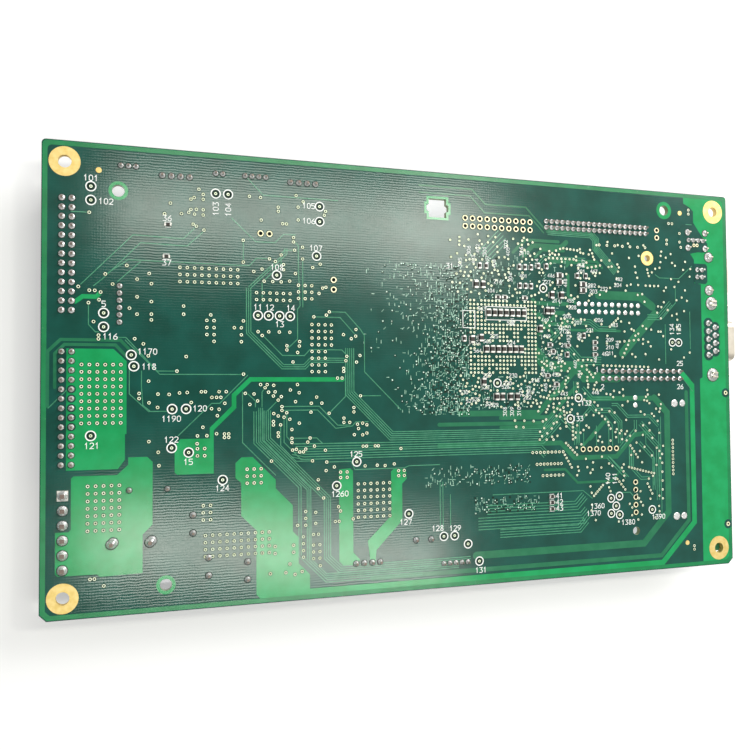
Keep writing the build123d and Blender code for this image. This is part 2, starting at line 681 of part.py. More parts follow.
def film_capacitor():
    """Potted box with two standing ribs under it."""
    sx, sy, height = FILM_SIZE
    body = block(FILM_X, FILM_Y, sx, sy, 0, height)
    body = chamfer(body.edges().filter_by(Axis.Z), FILM_CORNER)
    body -= block(FILM_X, FILM_Y, sx - 2 * FILM_RIB, sy, 0, FILM_RIB_HEIGHT)
    return body - film_leads()


def film_leads():
    return [pin(x, y, LEAD_SIZE, FILM_LEAD_DEPTH) for x, y in film_points()]


def surface_can():
    """Surface-mount can standing on its own moulded base."""
    can = Cylinder(CAN_R, FLOOR_DEPTH - SMALL_CAN_BASE_THICK, align=CENTRE_TOP)
    can = chamfer(can.edges().group_by(Axis.Z)[0], SMALL_CAN_EDGE)
    return Pos(SMALL_CAN_X, SMALL_CAN_Y, below(SMALL_CAN_BASE_THICK)) * can


def surface_can_base():
    base = Rectangle(SMALL_CAN_BASE, SMALL_CAN_BASE)
    base = chamfer(base.vertices().group_by(Axis.Y)[-1], SMALL_CAN_CUT)
    return extrude(Pos(SMALL_CAN_X, SMALL_CAN_Y, below(0)) * base, -SMALL_CAN_BASE_THICK)


# ---- chips -------------------------------------------------------------------------------
def moulded_chip(x, y, size_x, size_y, height):
    """Moulded package: both halves draw in from the parting line."""
    outline = Pos(x, y, below(height / 2)) * Rectangle(size_x, size_y)
    upper = extrude(outline, height / 2, taper=CHIP_DRAFT)
    return upper + extrude(outline, -height / 2, taper=CHIP_DRAFT)


def processor_package(x, y, size_x, size_y, height):
    """Ball-grid package: thin laminate with a moulded cap on it."""
    laminate_height = height * CAP_START
    laminate = block(x, y, size_x, size_y, 0, laminate_height)
    outline = Rectangle(size_x - 2 * CAP_INSET, size_y - 2 * CAP_INSET)
    cap_base = Pos(x, y, below(laminate_height)) * outline
    return laminate + extrude(cap_base, laminate_height - height, taper=CAP_DRAFT)


def power_bodies():
    bodies = []
    for x, y, width in POWER_PACKAGES:
        outline = Pos(x, y, below(POWER_BODY_GAP)) * Rectangle(width, POWER_BODY_LENGTH)
        body = extrude(outline, -POWER_BODY_HEIGHT, taper=POWER_BODY_DRAFT)
        bodies.append(body - power_metal(x, y, width))
    return bodies


def power_metal(x, y, width):
    """Heat tab under the package and its two legs, each bent down to the board."""
    tab_length = POWER_BODY_LENGTH - POWER_TAB_HIDDEN + POWER_TAB_REACH
    tab_y = y + POWER_BODY_LENGTH / 2 + POWER_TAB_REACH - tab_length / 2
    tab = block(x, tab_y, width - 2 * POWER_TAB_INSET, tab_length, 0, POWER_TAB_THICK)
    front = y - POWER_BODY_LENGTH / 2
    half = POWER_LEG_THICK / 2
    bend_y = front - POWER_LEG_REACH / 2
    legs = []
    for side in (-1, 1):
        leg_x = x + side * width / 4
        foot = block(leg_x, bend_y - half, POWER_LEG, POWER_FOOT, 0, POWER_LEG_THICK)
        rise = block(leg_x, bend_y, POWER_LEG, POWER_LEG_THICK, 0, POWER_LEG_LEVEL + POWER_LEG_THICK)
        shank = block(leg_x, front, POWER_LEG, POWER_LEG_REACH, POWER_LEG_LEVEL, POWER_LEG_THICK)
        legs.append(foot + rise + shank)
    return [tab] + legs


def power_tabs():
    return [metal for package in POWER_PACKAGES for metal in power_metal(*package)]


def inductor(x, y):
    """Shielded power inductor: square ferrite block with cut corners."""
    outline = Rectangle(INDUCTOR_SIZE, INDUCTOR_SIZE)
    outline = chamfer(outline.vertices(), INDUCTOR_CORNER)
    return extrude(Pos(x, y, below(0)) * outline, -INDUCTOR_HEIGHT)


def crystal(x, y):
    """Low resistance-welded can; its round ends are three flats each."""
    size_x, size_y, height = CRYSTAL_SIZE
    outline = chamfer(Rectangle(size_x, size_y).vertices(), size_y * CRYSTAL_END)
    return extrude(Pos(x, y, below(0)) * outline, -height)


def solder_side_chips():
    """Every chip part on the solder side; resistors are lower than capacitors."""
    upright = UPRIGHT_CAPACITORS + [point for line in DECOUPLING_ROWS for point in row(*line, "x")]
    groups = [
        (upright, CAPACITOR_SIZE, CAPACITOR_HEIGHT),
        (LEVEL_CAPACITORS, CAPACITOR_SIZE[::-1], CAPACITOR_HEIGHT),
        (UPRIGHT_RESISTORS, RESISTOR_SIZE, CHIP_HEIGHT),
        (LEVEL_RESISTORS, RESISTOR_SIZE[::-1], CHIP_HEIGHT),
    ]
    chips = []
    for points, (size_x, size_y), height in groups:
        chip = Box(size_x, size_y, height, align=CENTRE_BOTTOM)
        chips += [Pos(x, y, 0) * chip for x, y in points]
    return chips


# ---- write every sub-part ----------------------------------------------------------------
def main():
    os.makedirs("parts", exist_ok=True)
    save("board", board())
    for name in HEADERS:
        save(name, header(name))
        save(f"{name}_pins", header_pins(name))
    for name in SOCKETS:
        save(name, socket(name))
    save("fine_socket_pins", socket_pins("fine"))
    save("motor_socket_pins", socket_pins("motor"))
    save("power_connector", power_connector())
    save("power_connector_pins", power_connector_pins())
    save("serial_shell", serial_shell())
    save("serial_insulator", serial_insulator())
    save("serial_contacts", serial_contacts())
    save("serial_brackets", serial_brackets())
    save("serial_screw_locks", serial_screw_locks())
    save("device_socket_shell", usb_shell())
    save("device_socket_insulator", usb_insulator())
    save("device_socket_contacts", usb_contacts())
    save("aux_socket_shell", aux_socket_shell())
    save("aux_socket_insulator", aux_socket_insulator())
    save("aux_socket_contacts", aux_socket_contacts())
    for number, (x, y, _) in enumerate(CAPACITORS, 1):
        save(f"capacitor_{number}", capacitor_can(x, y))
    save("capacitor_leads", [pin(x, y, LEAD_SIZE, 0) for x, y in capacitor_points()])
    save("choke_core", choke_core())
    save("choke_base", choke_base())
    save("choke_leads", choke_leads())
    save("film_capacitor", film_capacitor())
    save("film_capacitor_leads", film_leads())
    save("surface_capacitor_can", surface_can())
    save("surface_capacitor_base", surface_can_base())
    save("processor", [processor_package(*chip) for chip in PROCESSOR])
    save("memory_chips", [moulded_chip(*chip) for chip in MEMORY])
    save("flash_chip", [moulded_chip(*chip) for chip in FLASH])
    save("gate_array", [moulded_chip(*chip) for chip in GATE_ARRAY])
    save("interface_controller", [moulded_chip(*chip) for chip in INTERFACE])
    save("motor_drivers", [moulded_chip(*chip) for chip in MOTOR_DRIVERS])
    save("logic_chips", [moulded_chip(*chip) for chip in LOGIC])
    save("power_package_bodies", power_bodies())
    save("power_package_tabs", power_tabs())
    save("power_inductors", [inductor(x, y) for x, y in INDUCTORS])
    save("crystals", [crystal(x, y) for x, y in CRYSTALS])
    save("solder_side_chips", solder_side_chips())


main()
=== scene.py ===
# %% [markdown]
# # A printer's main board, solder side up
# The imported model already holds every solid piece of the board: the laminate, the connectors and
# their wires, the capacitors and the chips. What it lacks is everything that a board factory prints,
# plates and solders on the surface. This lesson adds that, layer by layer, in the order in which the
# real board is made: copper, solder mask, plated rings, solder, white legend.

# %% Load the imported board
import json
import math
import random

import bpy
from mathutils import Matrix, Quaternion, Vector
from mathutils.geometry import tessellate_polygon


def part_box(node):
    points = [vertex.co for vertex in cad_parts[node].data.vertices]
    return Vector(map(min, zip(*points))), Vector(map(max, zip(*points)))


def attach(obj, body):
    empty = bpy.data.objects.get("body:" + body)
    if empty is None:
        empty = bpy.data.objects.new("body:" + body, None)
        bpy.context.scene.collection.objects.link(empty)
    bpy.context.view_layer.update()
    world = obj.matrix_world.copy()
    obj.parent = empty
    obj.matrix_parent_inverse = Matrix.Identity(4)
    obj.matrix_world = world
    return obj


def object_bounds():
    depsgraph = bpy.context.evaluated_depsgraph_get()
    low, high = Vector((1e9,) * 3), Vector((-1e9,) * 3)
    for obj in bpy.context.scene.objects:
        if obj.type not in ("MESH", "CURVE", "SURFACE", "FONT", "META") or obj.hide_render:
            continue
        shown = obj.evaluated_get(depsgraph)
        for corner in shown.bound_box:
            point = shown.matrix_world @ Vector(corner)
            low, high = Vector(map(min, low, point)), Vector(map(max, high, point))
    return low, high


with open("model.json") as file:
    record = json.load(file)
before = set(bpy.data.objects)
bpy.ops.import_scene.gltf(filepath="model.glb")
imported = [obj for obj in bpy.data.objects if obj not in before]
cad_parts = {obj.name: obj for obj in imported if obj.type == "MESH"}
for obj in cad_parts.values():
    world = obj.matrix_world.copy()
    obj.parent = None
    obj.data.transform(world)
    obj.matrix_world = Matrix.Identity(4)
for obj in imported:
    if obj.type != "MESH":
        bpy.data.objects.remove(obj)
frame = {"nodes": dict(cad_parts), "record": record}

cad_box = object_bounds()
print("CAD nodes:", len(frame["nodes"]))

# %% [markdown]
# Board makers think in millimetres, and Blender in metres. The whole model could be built large and
# scaled down at the end, but textures and lamps would then need the same care. Here every place is
# written in millimetres from the centre of the four fixing holes, and turned into metres only where
# a mesh is made.

# %% Millimetres and the edges of the laminate
MM = 0.001
board_low, board_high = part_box("board")
LEFT, BOTTOM, BACK = (value / MM for value in board_low)
RIGHT, TOP, FRONT = (value / MM for value in board_high)
print(f"laminate {RIGHT - LEFT:.1f} x {TOP - BOTTOM:.1f} x {FRONT - BACK:.1f} mm")

# %% [markdown]
# ## Finishes
# A finish is a small node tree. It could be drawn by hand in the shader editor, but this board needs
# some twenty of them, so a few helpers write the trees. One gives a coordinate in millimetres, so
# that a texture's scale is a real size, and another gives noise of a chosen grain.

# %% Helpers for node trees
finishes = {}


def new_finish(name, color, roughness, metallic=0.0, gloss=0.5):
    """A material with its main shader, ready for more nodes."""
    material = bpy.data.materials.new(name)
    finishes[name] = material
    material.use_nodes = True
    shader = material.node_tree.nodes["Principled BSDF"]
    shader.inputs["Base Color"].default_value = (*color, 1)
    shader.inputs["Roughness"].default_value = roughness
    shader.inputs["Metallic"].default_value = metallic
    shader.inputs["Specular IOR Level"].default_value = gloss
    return material, shader


def node(material, kind, **settings):
    made = material.node_tree.nodes.new(kind)
    for key, value in settings.items():
        setattr(made, key, value)
    return made


def join(material, source, target):
    material.node_tree.links.new(source, target)


def millimetres(material):
    """The surface point in millimetres."""
    place = node(material, "ShaderNodeTexCoord")
    scale = node(material, "ShaderNodeMapping")
    scale.inputs["Scale"].default_value = (1 / MM, 1 / MM, 1 / MM)
    join(material, place.outputs["Object"], scale.inputs["Vector"])
    return scale.outputs["Vector"]


def grain(material, size, detail=3.0):
    """Noise whose blotches are about size millimetres across."""
    noise = node(material, "ShaderNodeTexNoise")
    noise.inputs["Scale"].default_value = 1 / size
    noise.inputs["Detail"].default_value = detail
    join(material, millimetres(material), noise.inputs["Vector"])
    return noise.outputs["Fac"]


def axes_of(material, vector):
    split = node(material, "ShaderNodeSeparateXYZ")
    join(material, vector, split.inputs["Vector"])
    return split.outputs


def passes(material, operation, value, limit):
    """1 where the value is past the limit, 0 elsewhere."""
    test = node(material, "ShaderNodeMath", operation=operation)
    test.inputs[1].default_value = limit
    join(material, value, test.inputs[0])
    return test.outputs["Value"]

# %% [markdown]
# Few real surfaces have one colour. Two helpers lay colours over each other, one along a soft ramp and
# one with a hard edge, and two more make the gloss and the relief uneven.

# %% Colour, gloss and relief
def blend_colors(material, factor, first, second, low=0.35, high=0.65):
    """Runs from the first colour to the second as factor goes from low to high."""
    ramp = node(material, "ShaderNodeValToRGB")
    for stop, position, color in zip(ramp.color_ramp.elements, (low, high), (first, second)):
        stop.position = position
        stop.color = (*color, 1)
    join(material, factor, ramp.inputs["Fac"])
    return ramp.outputs["Color"]


def overlay(material, factor, under, over):
    """Shows over where factor is 1; each of the two is a colour or another node's output."""
    mix = node(material, "ShaderNodeMix", data_type="RGBA")
    join(material, factor, mix.inputs["Factor"])
    for socket, color in (("A", under), ("B", over)):
        if isinstance(color, tuple):
            mix.inputs[socket].default_value = (*color, 1)
        else:
            join(material, color, mix.inputs[socket])
    return mix.outputs["Result"]


def bumps(material, shader, height, depth, before=None):
    """Relief of depth millimetres, added to an earlier relief where one is given."""
    bump = node(material, "ShaderNodeBump")
    bump.inputs["Strength"].default_value = 1.0
    bump.inputs["Distance"].default_value = depth * MM
    join(material, height, bump.inputs["Height"])
    if before is not None:
        join(material, before, bump.inputs["Normal"])
    join(material, bump.outputs["Normal"], shader.inputs["Normal"])
    return bump.outputs["Normal"]


def vary_roughness(material, shader, factor, smooth, rough):
    span = node(material, "ShaderNodeMapRange")
    span.inputs["To Min"].default_value = smooth
    span.inputs["To Max"].default_value = rough
    join(material, factor, span.inputs["Value"])
    join(material, span.outputs["Result"], shader.inputs["Roughness"])


def cloudy(material, shader, dark, light, cloud, gloss_span, gloss_grain, dent, dent_grain):
    """Clouds of colour, uneven gloss and fine dents, each with its own grain in millimetres."""
    join(material, blend_colors(material, grain(material, cloud), dark, light), shader.inputs["Base Color"])
    vary_roughness(material, shader, grain(material, gloss_grain), *gloss_span)
    bumps(material, shader, grain(material, dent_grain), dent)

# %% [markdown]
# Solder mask is a glossy green lacquer, about 0.02 mm thick. Over bare laminate it looks dark
# blue-green, because the glass cloth under it lets the light in. The cloth's weave prints through as
# faint crossed streaks. The cut edge has no lacquer and shows the pale resin. A second material on the
# edge faces would do the same, but the normal tells the edge from the face without touching the mesh.

# %% Solder mask over bare laminate
MASK_DARK = (0.0025, 0.052, 0.037)
MASK_LIGHT = (0.004, 0.072, 0.054)
EDGE_RESIN = (0.20, 0.26, 0.11)
WEAVE_PITCH = 0.75
WEAVE_DEPTH = 0.0055


def weave(material, pitch):
    """Crossed threads of the glass cloth, as a height."""
    heights = []
    for direction in ("X", "Y"):
        wave = node(material, "ShaderNodeTexWave", wave_type="BANDS", bands_direction=direction)
        wave.inputs["Scale"].default_value = math.pi / pitch / 10
        wave.inputs["Distortion"].default_value = 3.2
        wave.inputs["Detail"].default_value = 2.0
        join(material, millimetres(material), wave.inputs["Vector"])
        heights.append(wave.outputs["Fac"])
    total = node(material, "ShaderNodeMath", operation="MULTIPLY_ADD")
    total.inputs[1].default_value = 0.3
    join(material, heights[0], total.inputs[0])
    join(material, heights[1], total.inputs[2])
    return total.outputs["Value"]


def mask_finish(name, dark, light, roughness):
    material, shader = new_finish(name, dark, roughness)
    green = blend_colors(material, grain(material, 9.0), dark, light)
    geometry = node(material, "ShaderNodeNewGeometry")
    upright = axes_of(material, geometry.outputs["True Normal"])["Z"]
    level = node(material, "ShaderNodeMath", operation="ABSOLUTE")
    join(material, upright, level.inputs[0])
    color = overlay(material, level.outputs["Value"], EDGE_RESIN, green)
    join(material, color, shader.inputs["Base Color"])
    relief = bumps(material, shader, weave(material, WEAVE_PITCH), WEAVE_DEPTH)
    bumps(material, shader, grain(material, 0.35), 0.002, relief)
    vary_roughness(material, shader, grain(material, 14.0), roughness * 0.8, roughness * 1.25)


mask_finish("solder_mask", MASK_DARK, MASK_LIGHT, 0.14)
print("solder mask with a weave of", WEAVE_PITCH, "mm")

# %% [markdown]
# Over copper the same lacquer is a brighter green, because the metal shines through it. Real copper
# under a clear green coat would need a second layer in the shader. At this thickness a plain shift of
# colour looks the same, so each kind of copper gets a lacquer of its own.

# %% Lacquers over copper
def lacquer_finish(name, dark, light, roughness=0.24, cloud=5.0, gloss=0.5):
    material, shader = new_finish(name, dark, roughness, gloss=gloss)
    cloudy(material, shader, dark, light, cloud, (roughness * 0.8, roughness * 1.3), 3.0, 0.003, 0.5)


lacquer_finish("pour_lacquer", (0.003, 0.25, 0.068), (0.006, 0.30, 0.092), 0.16)
lacquer_finish("band_lacquer", (0.010, 0.130, 0.058), (0.018, 0.158, 0.074), 0.16)
lacquer_finish("track_lacquer", (0.034, 0.205, 0.108), (0.060, 0.262, 0.150), 0.18, cloud=2.0)
# Painted glints: the pale ends of these two are highlights; the dark end of the stubs is lacquered copper.
lacquer_finish("stub_lacquer_and_glint", (0.02, 0.16, 0.09), (0.46, 0.72, 0.58), 0.2, cloud=0.9)
lacquer_finish("speck_glint_lacquer", (0.45, 0.72, 0.58), (0.70, 0.92, 0.80), 0.3, cloud=1.2)
lacquer_finish("rim_lacquer", (0.005, 0.165, 0.052), (0.008, 0.205, 0.068))
lacquer_finish("clearance_lacquer", MASK_DARK, MASK_LIGHT, 0.16)
# Mask gaps: bare laminate, made near black as painted shade round rings and joints.
lacquer_finish("bare_resin_and_shade", (0.003, 0.018, 0.011), (0.006, 0.028, 0.018), 0.5, gloss=0.15)
print("finishes so far:", len(finishes))

# %% [markdown]
# Where the mask is left open, the copper is plated with gold or covered in solder. Both are metals:
# their colour comes from reflection, so they need a soft light above more than they need pigment.
# Dull plating scatters part of the light, so most of these metals have a metallic share below one.

# %% Gold, solder, legend and holes
def metal_finish(name, dark, light, smooth, rough, cloud, dent, metallic=1.0):
    material, shader = new_finish(name, dark, rough, metallic)
    cloudy(material, shader, dark, light, cloud, (smooth, rough), cloud * 0.6, dent, cloud * 0.4)


def plain_finish(name, dark, light, roughness, cloud, dent, gloss=0.5):
    """Mouldings, ceramics and ink: a little colour variation and a fine surface."""
    material, shader = new_finish(name, dark, roughness, gloss=gloss)
    span = (roughness * 0.8, min(1.0, roughness * 1.2))
    cloudy(material, shader, dark, light, cloud, span, cloud * 2, dent, cloud * 0.3)


metal_finish("plated_gold", (0.74, 0.54, 0.17), (0.84, 0.65, 0.27), 0.42, 0.55, 1.5, 0.004, 0.6)
metal_finish("flash_gold", (0.72, 0.80, 0.55), (0.87, 0.96, 0.76), 0.42, 0.55, 1.5, 0.004, 0.3)
metal_finish("hole_gold", (0.78, 0.75, 0.46), (0.90, 0.87, 0.62), 0.42, 0.55, 1.5, 0.004, 0.4)
metal_finish("solder", (0.70, 0.69, 0.67), (0.98, 0.98, 0.97), 0.20, 0.34, 0.8, 0.015, 0.7)
metal_finish("tinned_wire", (0.70, 0.69, 0.66), (0.92, 0.91, 0.88), 0.20, 0.40, 0.6, 0.006, 0.65)
metal_finish("chip_tin", (0.46, 0.45, 0.42), (0.72, 0.71, 0.68), 0.3, 0.5, 0.6, 0.006, 0.8)
plain_finish("legend_ink", (0.72, 0.76, 0.74), (0.86, 0.88, 0.86), 0.55, 0.4, 0.004)
plain_finish("hole_shadow", (0.002, 0.004, 0.003), (0.005, 0.008, 0.007), 0.8, 0.5, 0.004, gloss=0.05)
plain_finish("dot_ink", (0.30, 0.30, 0.29), (0.42, 0.42, 0.40), 0.6, 0.4, 0.003)
print("finishes so far:", len(finishes))

# %% [markdown]
# A wire is clipped after soldering, so its sides are tinned and its cut end is bare. Above a set height the wire
# is painted dark brown, as painted shade for the dark centre of each joint. The end could be a separate disc,
# but the height in the material finds it on every wire at once.

# %% Wire with painted shade at its cut end
CUT_HEIGHT = 1.42
TIP_SHADE = (0.16, 0.12, 0.10)


def tip_shade_wire_finish(name):
    material, shader = new_finish(name, (0.6, 0.6, 0.6), 0.3, metallic=0.4)
    tin = blend_colors(material, grain(material, 0.6), (0.50, 0.48, 0.45), (0.72, 0.70, 0.66))
    above = passes(material, "GREATER_THAN", axes_of(material, millimetres(material))["Z"], CUT_HEIGHT)
    # Painted shade: above CUT_HEIGHT the wire turns dark brown, for the dark centre of the joint.
    join(material, overlay(material, above, tin, TIP_SHADE), shader.inputs["Base Color"])
    vary_roughness(material, shader, grain(material, 0.4), 0.25, 0.45)
    bumps(material, shader, grain(material, 0.25), 0.006)


tip_shade_wire_finish("tip_shade_wire")
print("wires are brown above", CUT_HEIGHT, "mm")

# %% [markdown]
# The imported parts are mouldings, sintered ferrite and plated sheet. One grey with different tints would
# tell them apart, but they differ more in gloss and grain: broad faint clouds on the mouldings, fine
# rough grain on the ferrite, an uneven gloss on the sheet. A finish has the name of its material slot in
# the record, except where several slots share one.

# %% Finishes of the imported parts
plain_finish("black_moulding", (0.010, 0.010, 0.011), (0.020, 0.020, 0.022), 0.48, 3.0, 0.012)
plain_finish("white_moulding", (0.60, 0.56, 0.46), (0.72, 0.68, 0.58), 0.42, 3.0, 0.010)
plain_finish("power_moulding", (0.52, 0.50, 0.42), (0.64, 0.62, 0.54), 0.45, 4.0, 0.012)
plain_finish("ferrite", (0.022, 0.021, 0.020), (0.050, 0.048, 0.046), 0.72, 0.5, 0.030)
plain_finish("film_resin", (0.58, 0.38, 0.05), (0.70, 0.48, 0.09), 0.40, 4.0, 0.012)
plain_finish("chip_moulding", (0.009, 0.009, 0.010), (0.017, 0.017, 0.018), 0.52, 1.5, 0.010)
plain_finish("chip_ceramic", (0.008, 0.006, 0.005), (0.026, 0.016, 0.011), 0.5, 0.6, 0.006)
metal_finish("plated_shell", (0.62, 0.56, 0.46), (0.78, 0.72, 0.62), 0.30, 0.46, 5.0, 0.008, 0.8)
metal_finish("heat_tab", (0.58, 0.58, 0.57), (0.72, 0.72, 0.71), 0.28, 0.42, 2.0, 0.008)
metal_finish("crystal_can", (0.66, 0.66, 0.65), (0.80, 0.80, 0.79), 0.20, 0.34, 3.0, 0.005)
print("finishes so far:", len(finishes))

# %% [markdown]
# A capacitor is an aluminium can in a shrunk plastic sleeve, with a pale stripe on the negative side.
# The sleeve could be a second skin, but it hugs the can so closely that colour alone tells them apart:
# the distance from the can's middle line says where the sleeve's rim ends and bare metal begins.

# %% Sleeves of the capacitors
SLEEVE_RIM = 0.6
STRIPE_START = 0.86
STRIPE_PALE = (0.45, 0.46, 0.50)
BARE_ALUMINIUM = (0.75, 0.75, 0.76)


def sleeve_finish(name, node_name):
    """Dark sleeve with a pale stripe along one side; the end is bare inside the sleeve's rim."""
    low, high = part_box(node_name)
    middle_x, middle_y = (low[0] + high[0]) / 2 / MM, (low[1] + high[1]) / 2 / MM
    radius = (high[0] - low[0]) / 2 / MM
    material, shader = new_finish(name, (0.02, 0.02, 0.03), 0.35)
    place = node(material, "ShaderNodeMapping")
    place.inputs["Location"].default_value = (-middle_x, -middle_y, 0)
    join(material, millimetres(material), place.inputs["Vector"])
    axes = axes_of(material, place.outputs["Vector"])
    flat = node(material, "ShaderNodeCombineXYZ")
    join(material, axes["X"], flat.inputs["X"])
    join(material, axes["Y"], flat.inputs["Y"])
    reach = node(material, "ShaderNodeVectorMath", operation="LENGTH")
    join(material, flat.outputs["Vector"], reach.inputs[0])
    bare = passes(material, "LESS_THAN", reach.outputs["Value"], radius - SLEEVE_RIM)
    stripe = passes(material, "GREATER_THAN", axes["X"], radius * STRIPE_START)
    dark = blend_colors(material, grain(material, 3.0), (0.010, 0.011, 0.020), (0.018, 0.019, 0.032))
    whole = overlay(material, bare, overlay(material, stripe, dark, STRIPE_PALE), BARE_ALUMINIUM)
    join(material, whole, shader.inputs["Base Color"])
    join(material, bare, shader.inputs["Metallic"])
    bumps(material, shader, grain(material, 0.8), 0.01)
    return material

# %% [markdown]
# ## Raised print
# Copper, rings and ink are all flat shapes with a small thickness. Each could be an object made from a
# curve, but one mesh of a thousand rings is far lighter than a thousand objects. So one class makes
# them all: it collects closed prisms, rings and turned shapes, and makes a single mesh at the end.

# %% A collector of raised shapes
LAYER_STEP = 0.0005
LAYER_STEPS = 33


def circle(sides):
    """Directions evenly spaced round a circle."""
    return [(math.cos(2 * math.pi * i / sides), math.sin(2 * math.pi * i / sides)) for i in range(sides)]


class Relief:
    """Closed shapes on the board, in millimetres, that become one mesh."""

    def __init__(self, under=False):
        """Heights grow away from the solder face, or from the component face when under is true."""
        self.points = []
        self.faces = []
        self.slabs = 0
        self.under = under

    def prism(self, outline, low, high):
        """A slab with this outline, listed anticlockwise."""
        start = len(self.points)
        count = len(outline)
        self.points += [(x, y, low) for x, y in outline] + [(x, y, high) for x, y in outline]
        bottom = list(range(start, start + count))
        top = list(range(start + count, start + 2 * count))
        self.faces += [bottom[::-1], top]
        self.faces += [(bottom[i - 1], bottom[i], top[i], top[i - 1]) for i in range(count)]

    def box(self, x0, y0, x1, y1, low, high):
        self.prism([(x0, y0), (x1, y0), (x1, y1), (x0, y1)], low, high)

    def track(self, line, width, low, high):
        """A track a hair higher than its neighbours, so that crossing tracks never share a plane."""
        self.slabs += 1
        self.prism(track_outline(line, width), low, high + LAYER_STEP * (self.slabs % LAYER_STEPS))

    def plate(self, outline, holes, low, high):
        """A slab with round holes, each given as (x, y, radius)."""
        rims = [[(x + r * c, y - r * s) for c, s in circle(40)] for x, y, r in holes]
        rings = [outline] + rims
        flat = [Vector(p) for ring in rings for p in ring]
        start, count = len(self.points), len(flat)
        self.points += [(p.x, p.y, low) for p in flat] + [(p.x, p.y, high) for p in flat]
        for a, b, c in tessellate_polygon([[Vector((*p, 0)) for p in ring] for ring in rings]):
            if (flat[b] - flat[a]).cross(flat[c] - flat[a]) < 0:
                b, c = c, b
            top = start + count
            self.faces += [(top + a, top + b, top + c), (start + a, start + c, start + b)]
        for ring in rings:
            size = len(ring)
            for i in range(size):
                a, b = start + i, start + (i + 1) % size
                self.faces.append((a, b, b + count, a + count))
            start += size

    def loops(self, loops, closed):
        """Skins neighbouring loops of points; closed joins the last loop to the first."""
        start = len(self.points)
        count = len(loops[0])
        for loop in loops:
            self.points += loop
        pairs = len(loops) if closed else len(loops) - 1
        for k in range(pairs):
            first = start + k * count
            second = start + (k + 1) % len(loops) * count
            for i in range(count):
                j = (i + 1) % count
                self.faces.append((first + i, first + j, second + j, second + i))
        if not closed:
            self.faces.append(tuple(range(start, start + count))[::-1])
            last = start + (len(loops) - 1) * count
            self.faces.append(tuple(range(last, last + count)))

    def turned(self, x, y, profile, sides=12, closed=False):
        """A profile of (radius, height) pairs turned about the upright line through x, y."""
        loops = [[(x + r * c, y + r * s, z) for c, s in circle(sides)] for r, z in profile]
        self.loops(loops, closed)

    def ring(self, x, y, outer, inner, low, high, sides=12):
        self.turned(x, y, [(outer, low), (outer, high), (inner, high), (inner, low)], sides, closed=True)

    def disc(self, x, y, radius, low, high, sides=12):
        self.prism([(x + radius * c, y + radius * s) for c, s in circle(sides)], low, high)

    def make(self, name, finish, smooth=False):
        if self.under:
            self.points = [(x, y, BACK - z) for x, y, z in self.points]
            self.faces = [face[::-1] for face in self.faces]
        mesh = bpy.data.meshes.new(name)
        mesh.from_pydata([(x * MM, y * MM, z * MM) for x, y, z in self.points], [], self.faces)
        mesh.materials.append(finishes[finish])
        if smooth:
            mesh.shade_smooth()
        piece = bpy.data.objects.new(name, mesh)
        bpy.context.scene.collection.objects.link(piece)
        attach(piece, "root")
        print(f"{name}: {len(self.faces)} faces")

# %% [markdown]
# A track is a line with a width. A Blender curve with a bevel would do for a few, but its corners
# swell. Here the outline runs up one side and back down the other, and each corner is mitred, as a
# board plotter would draw it. The ends get a half-round cap.

# %% Tracks from centre lines
SHARPEST_MITRE = 0.35
CAP_STEPS = 4


def offset_corner(before, here, after, half):
    """The mitred point to the left of a corner, half a width away."""
    into = (here - before).normalized()
    out = (after - here).normalized()
    left = Vector((-into.y, into.x))
    bisector = left + Vector((-out.y, out.x))
    reach = half / max(SHARPEST_MITRE, bisector.normalized().dot(left))
    return here + bisector.normalized() * reach


def end_cap(end, direction, half):
    """Half-round end, from the right side of the line to the left."""
    angle = math.atan2(direction.y, direction.x)
    turns = [angle - math.pi / 2 + math.pi * k / CAP_STEPS for k in range(CAP_STEPS + 1)]
    return [end + half * Vector((math.cos(t), math.sin(t))) for t in turns]


def track_outline(line, width):
    points = [Vector(p) for p in line]
    half = width / 2
    corners = list(zip(points, points[1:], points[2:]))
    right = [offset_corner(c, b, a, half) for a, b, c in corners]
    left = [offset_corner(a, b, c, half) for a, b, c in corners]
    far = end_cap(points[-1], points[-1] - points[-2], half)
    near = end_cap(points[0], points[0] - points[1], half)
    return [tuple(p) for p in right + far + left[::-1] + near]


def shifted(line, offset):
    """The same route moved sideways; its corners stay mitred."""
    points = [Vector(p) for p in line]
    first = (points[1] - points[0]).normalized()
    last = (points[-1] - points[-2]).normalized()
    moved = [points[0] + offset * Vector((-first.y, first.x))]
    for a, b, c in zip(points, points[1:], points[2:]):
        moved.append(b + (offset_corner(a, b, c, 1.0) - b) * offset)
    moved.append(points[-1] + offset * Vector((-last.y, last.x)))
    return moved


def bundle(relief, count, pitch, line, width, low, high):
    """Parallel tracks, worked out from the middle line of the bundle."""
    for i in range(count):
        relief.track(shifted(line, (i - (count - 1) / 2) * pitch), width, low, high)

# %% [markdown]
# Every layer is a few hundredths of a millimetre thick on the real board. These heights above the
# laminate are a little larger, so that edges catch the light and no two layers share a plane. The
# slabs start just below the face, because shapes that only touch would flicker.

# %% Heights of the layers
SUNK = -0.02
POUR = 0.035
BAND = 0.040
TRACK = 0.058
CLEARANCE = 0.076
GAP = 0.094
PAD = 0.100
HOLE = 0.108
LEGEND = 0.115
UNDER_SUNK = -0.01
UNDER_POUR = 0.012
UNDER_TRACK = 0.016
UNDER_LEGEND = 0.03
PAD_THICK = 0.04
print(f"layers from {SUNK} to {LEGEND} mm")

# %% [markdown]
# ## Copper under the mask
# The large bright areas are copper pours that carry the heavy currents: head supply on the left, motor
# supply in the middle, chassis ground along the right edge. A painted mask could colour them, but a
# real pour stands up a little and catches light at its rim. So each is a slab with cut corners.

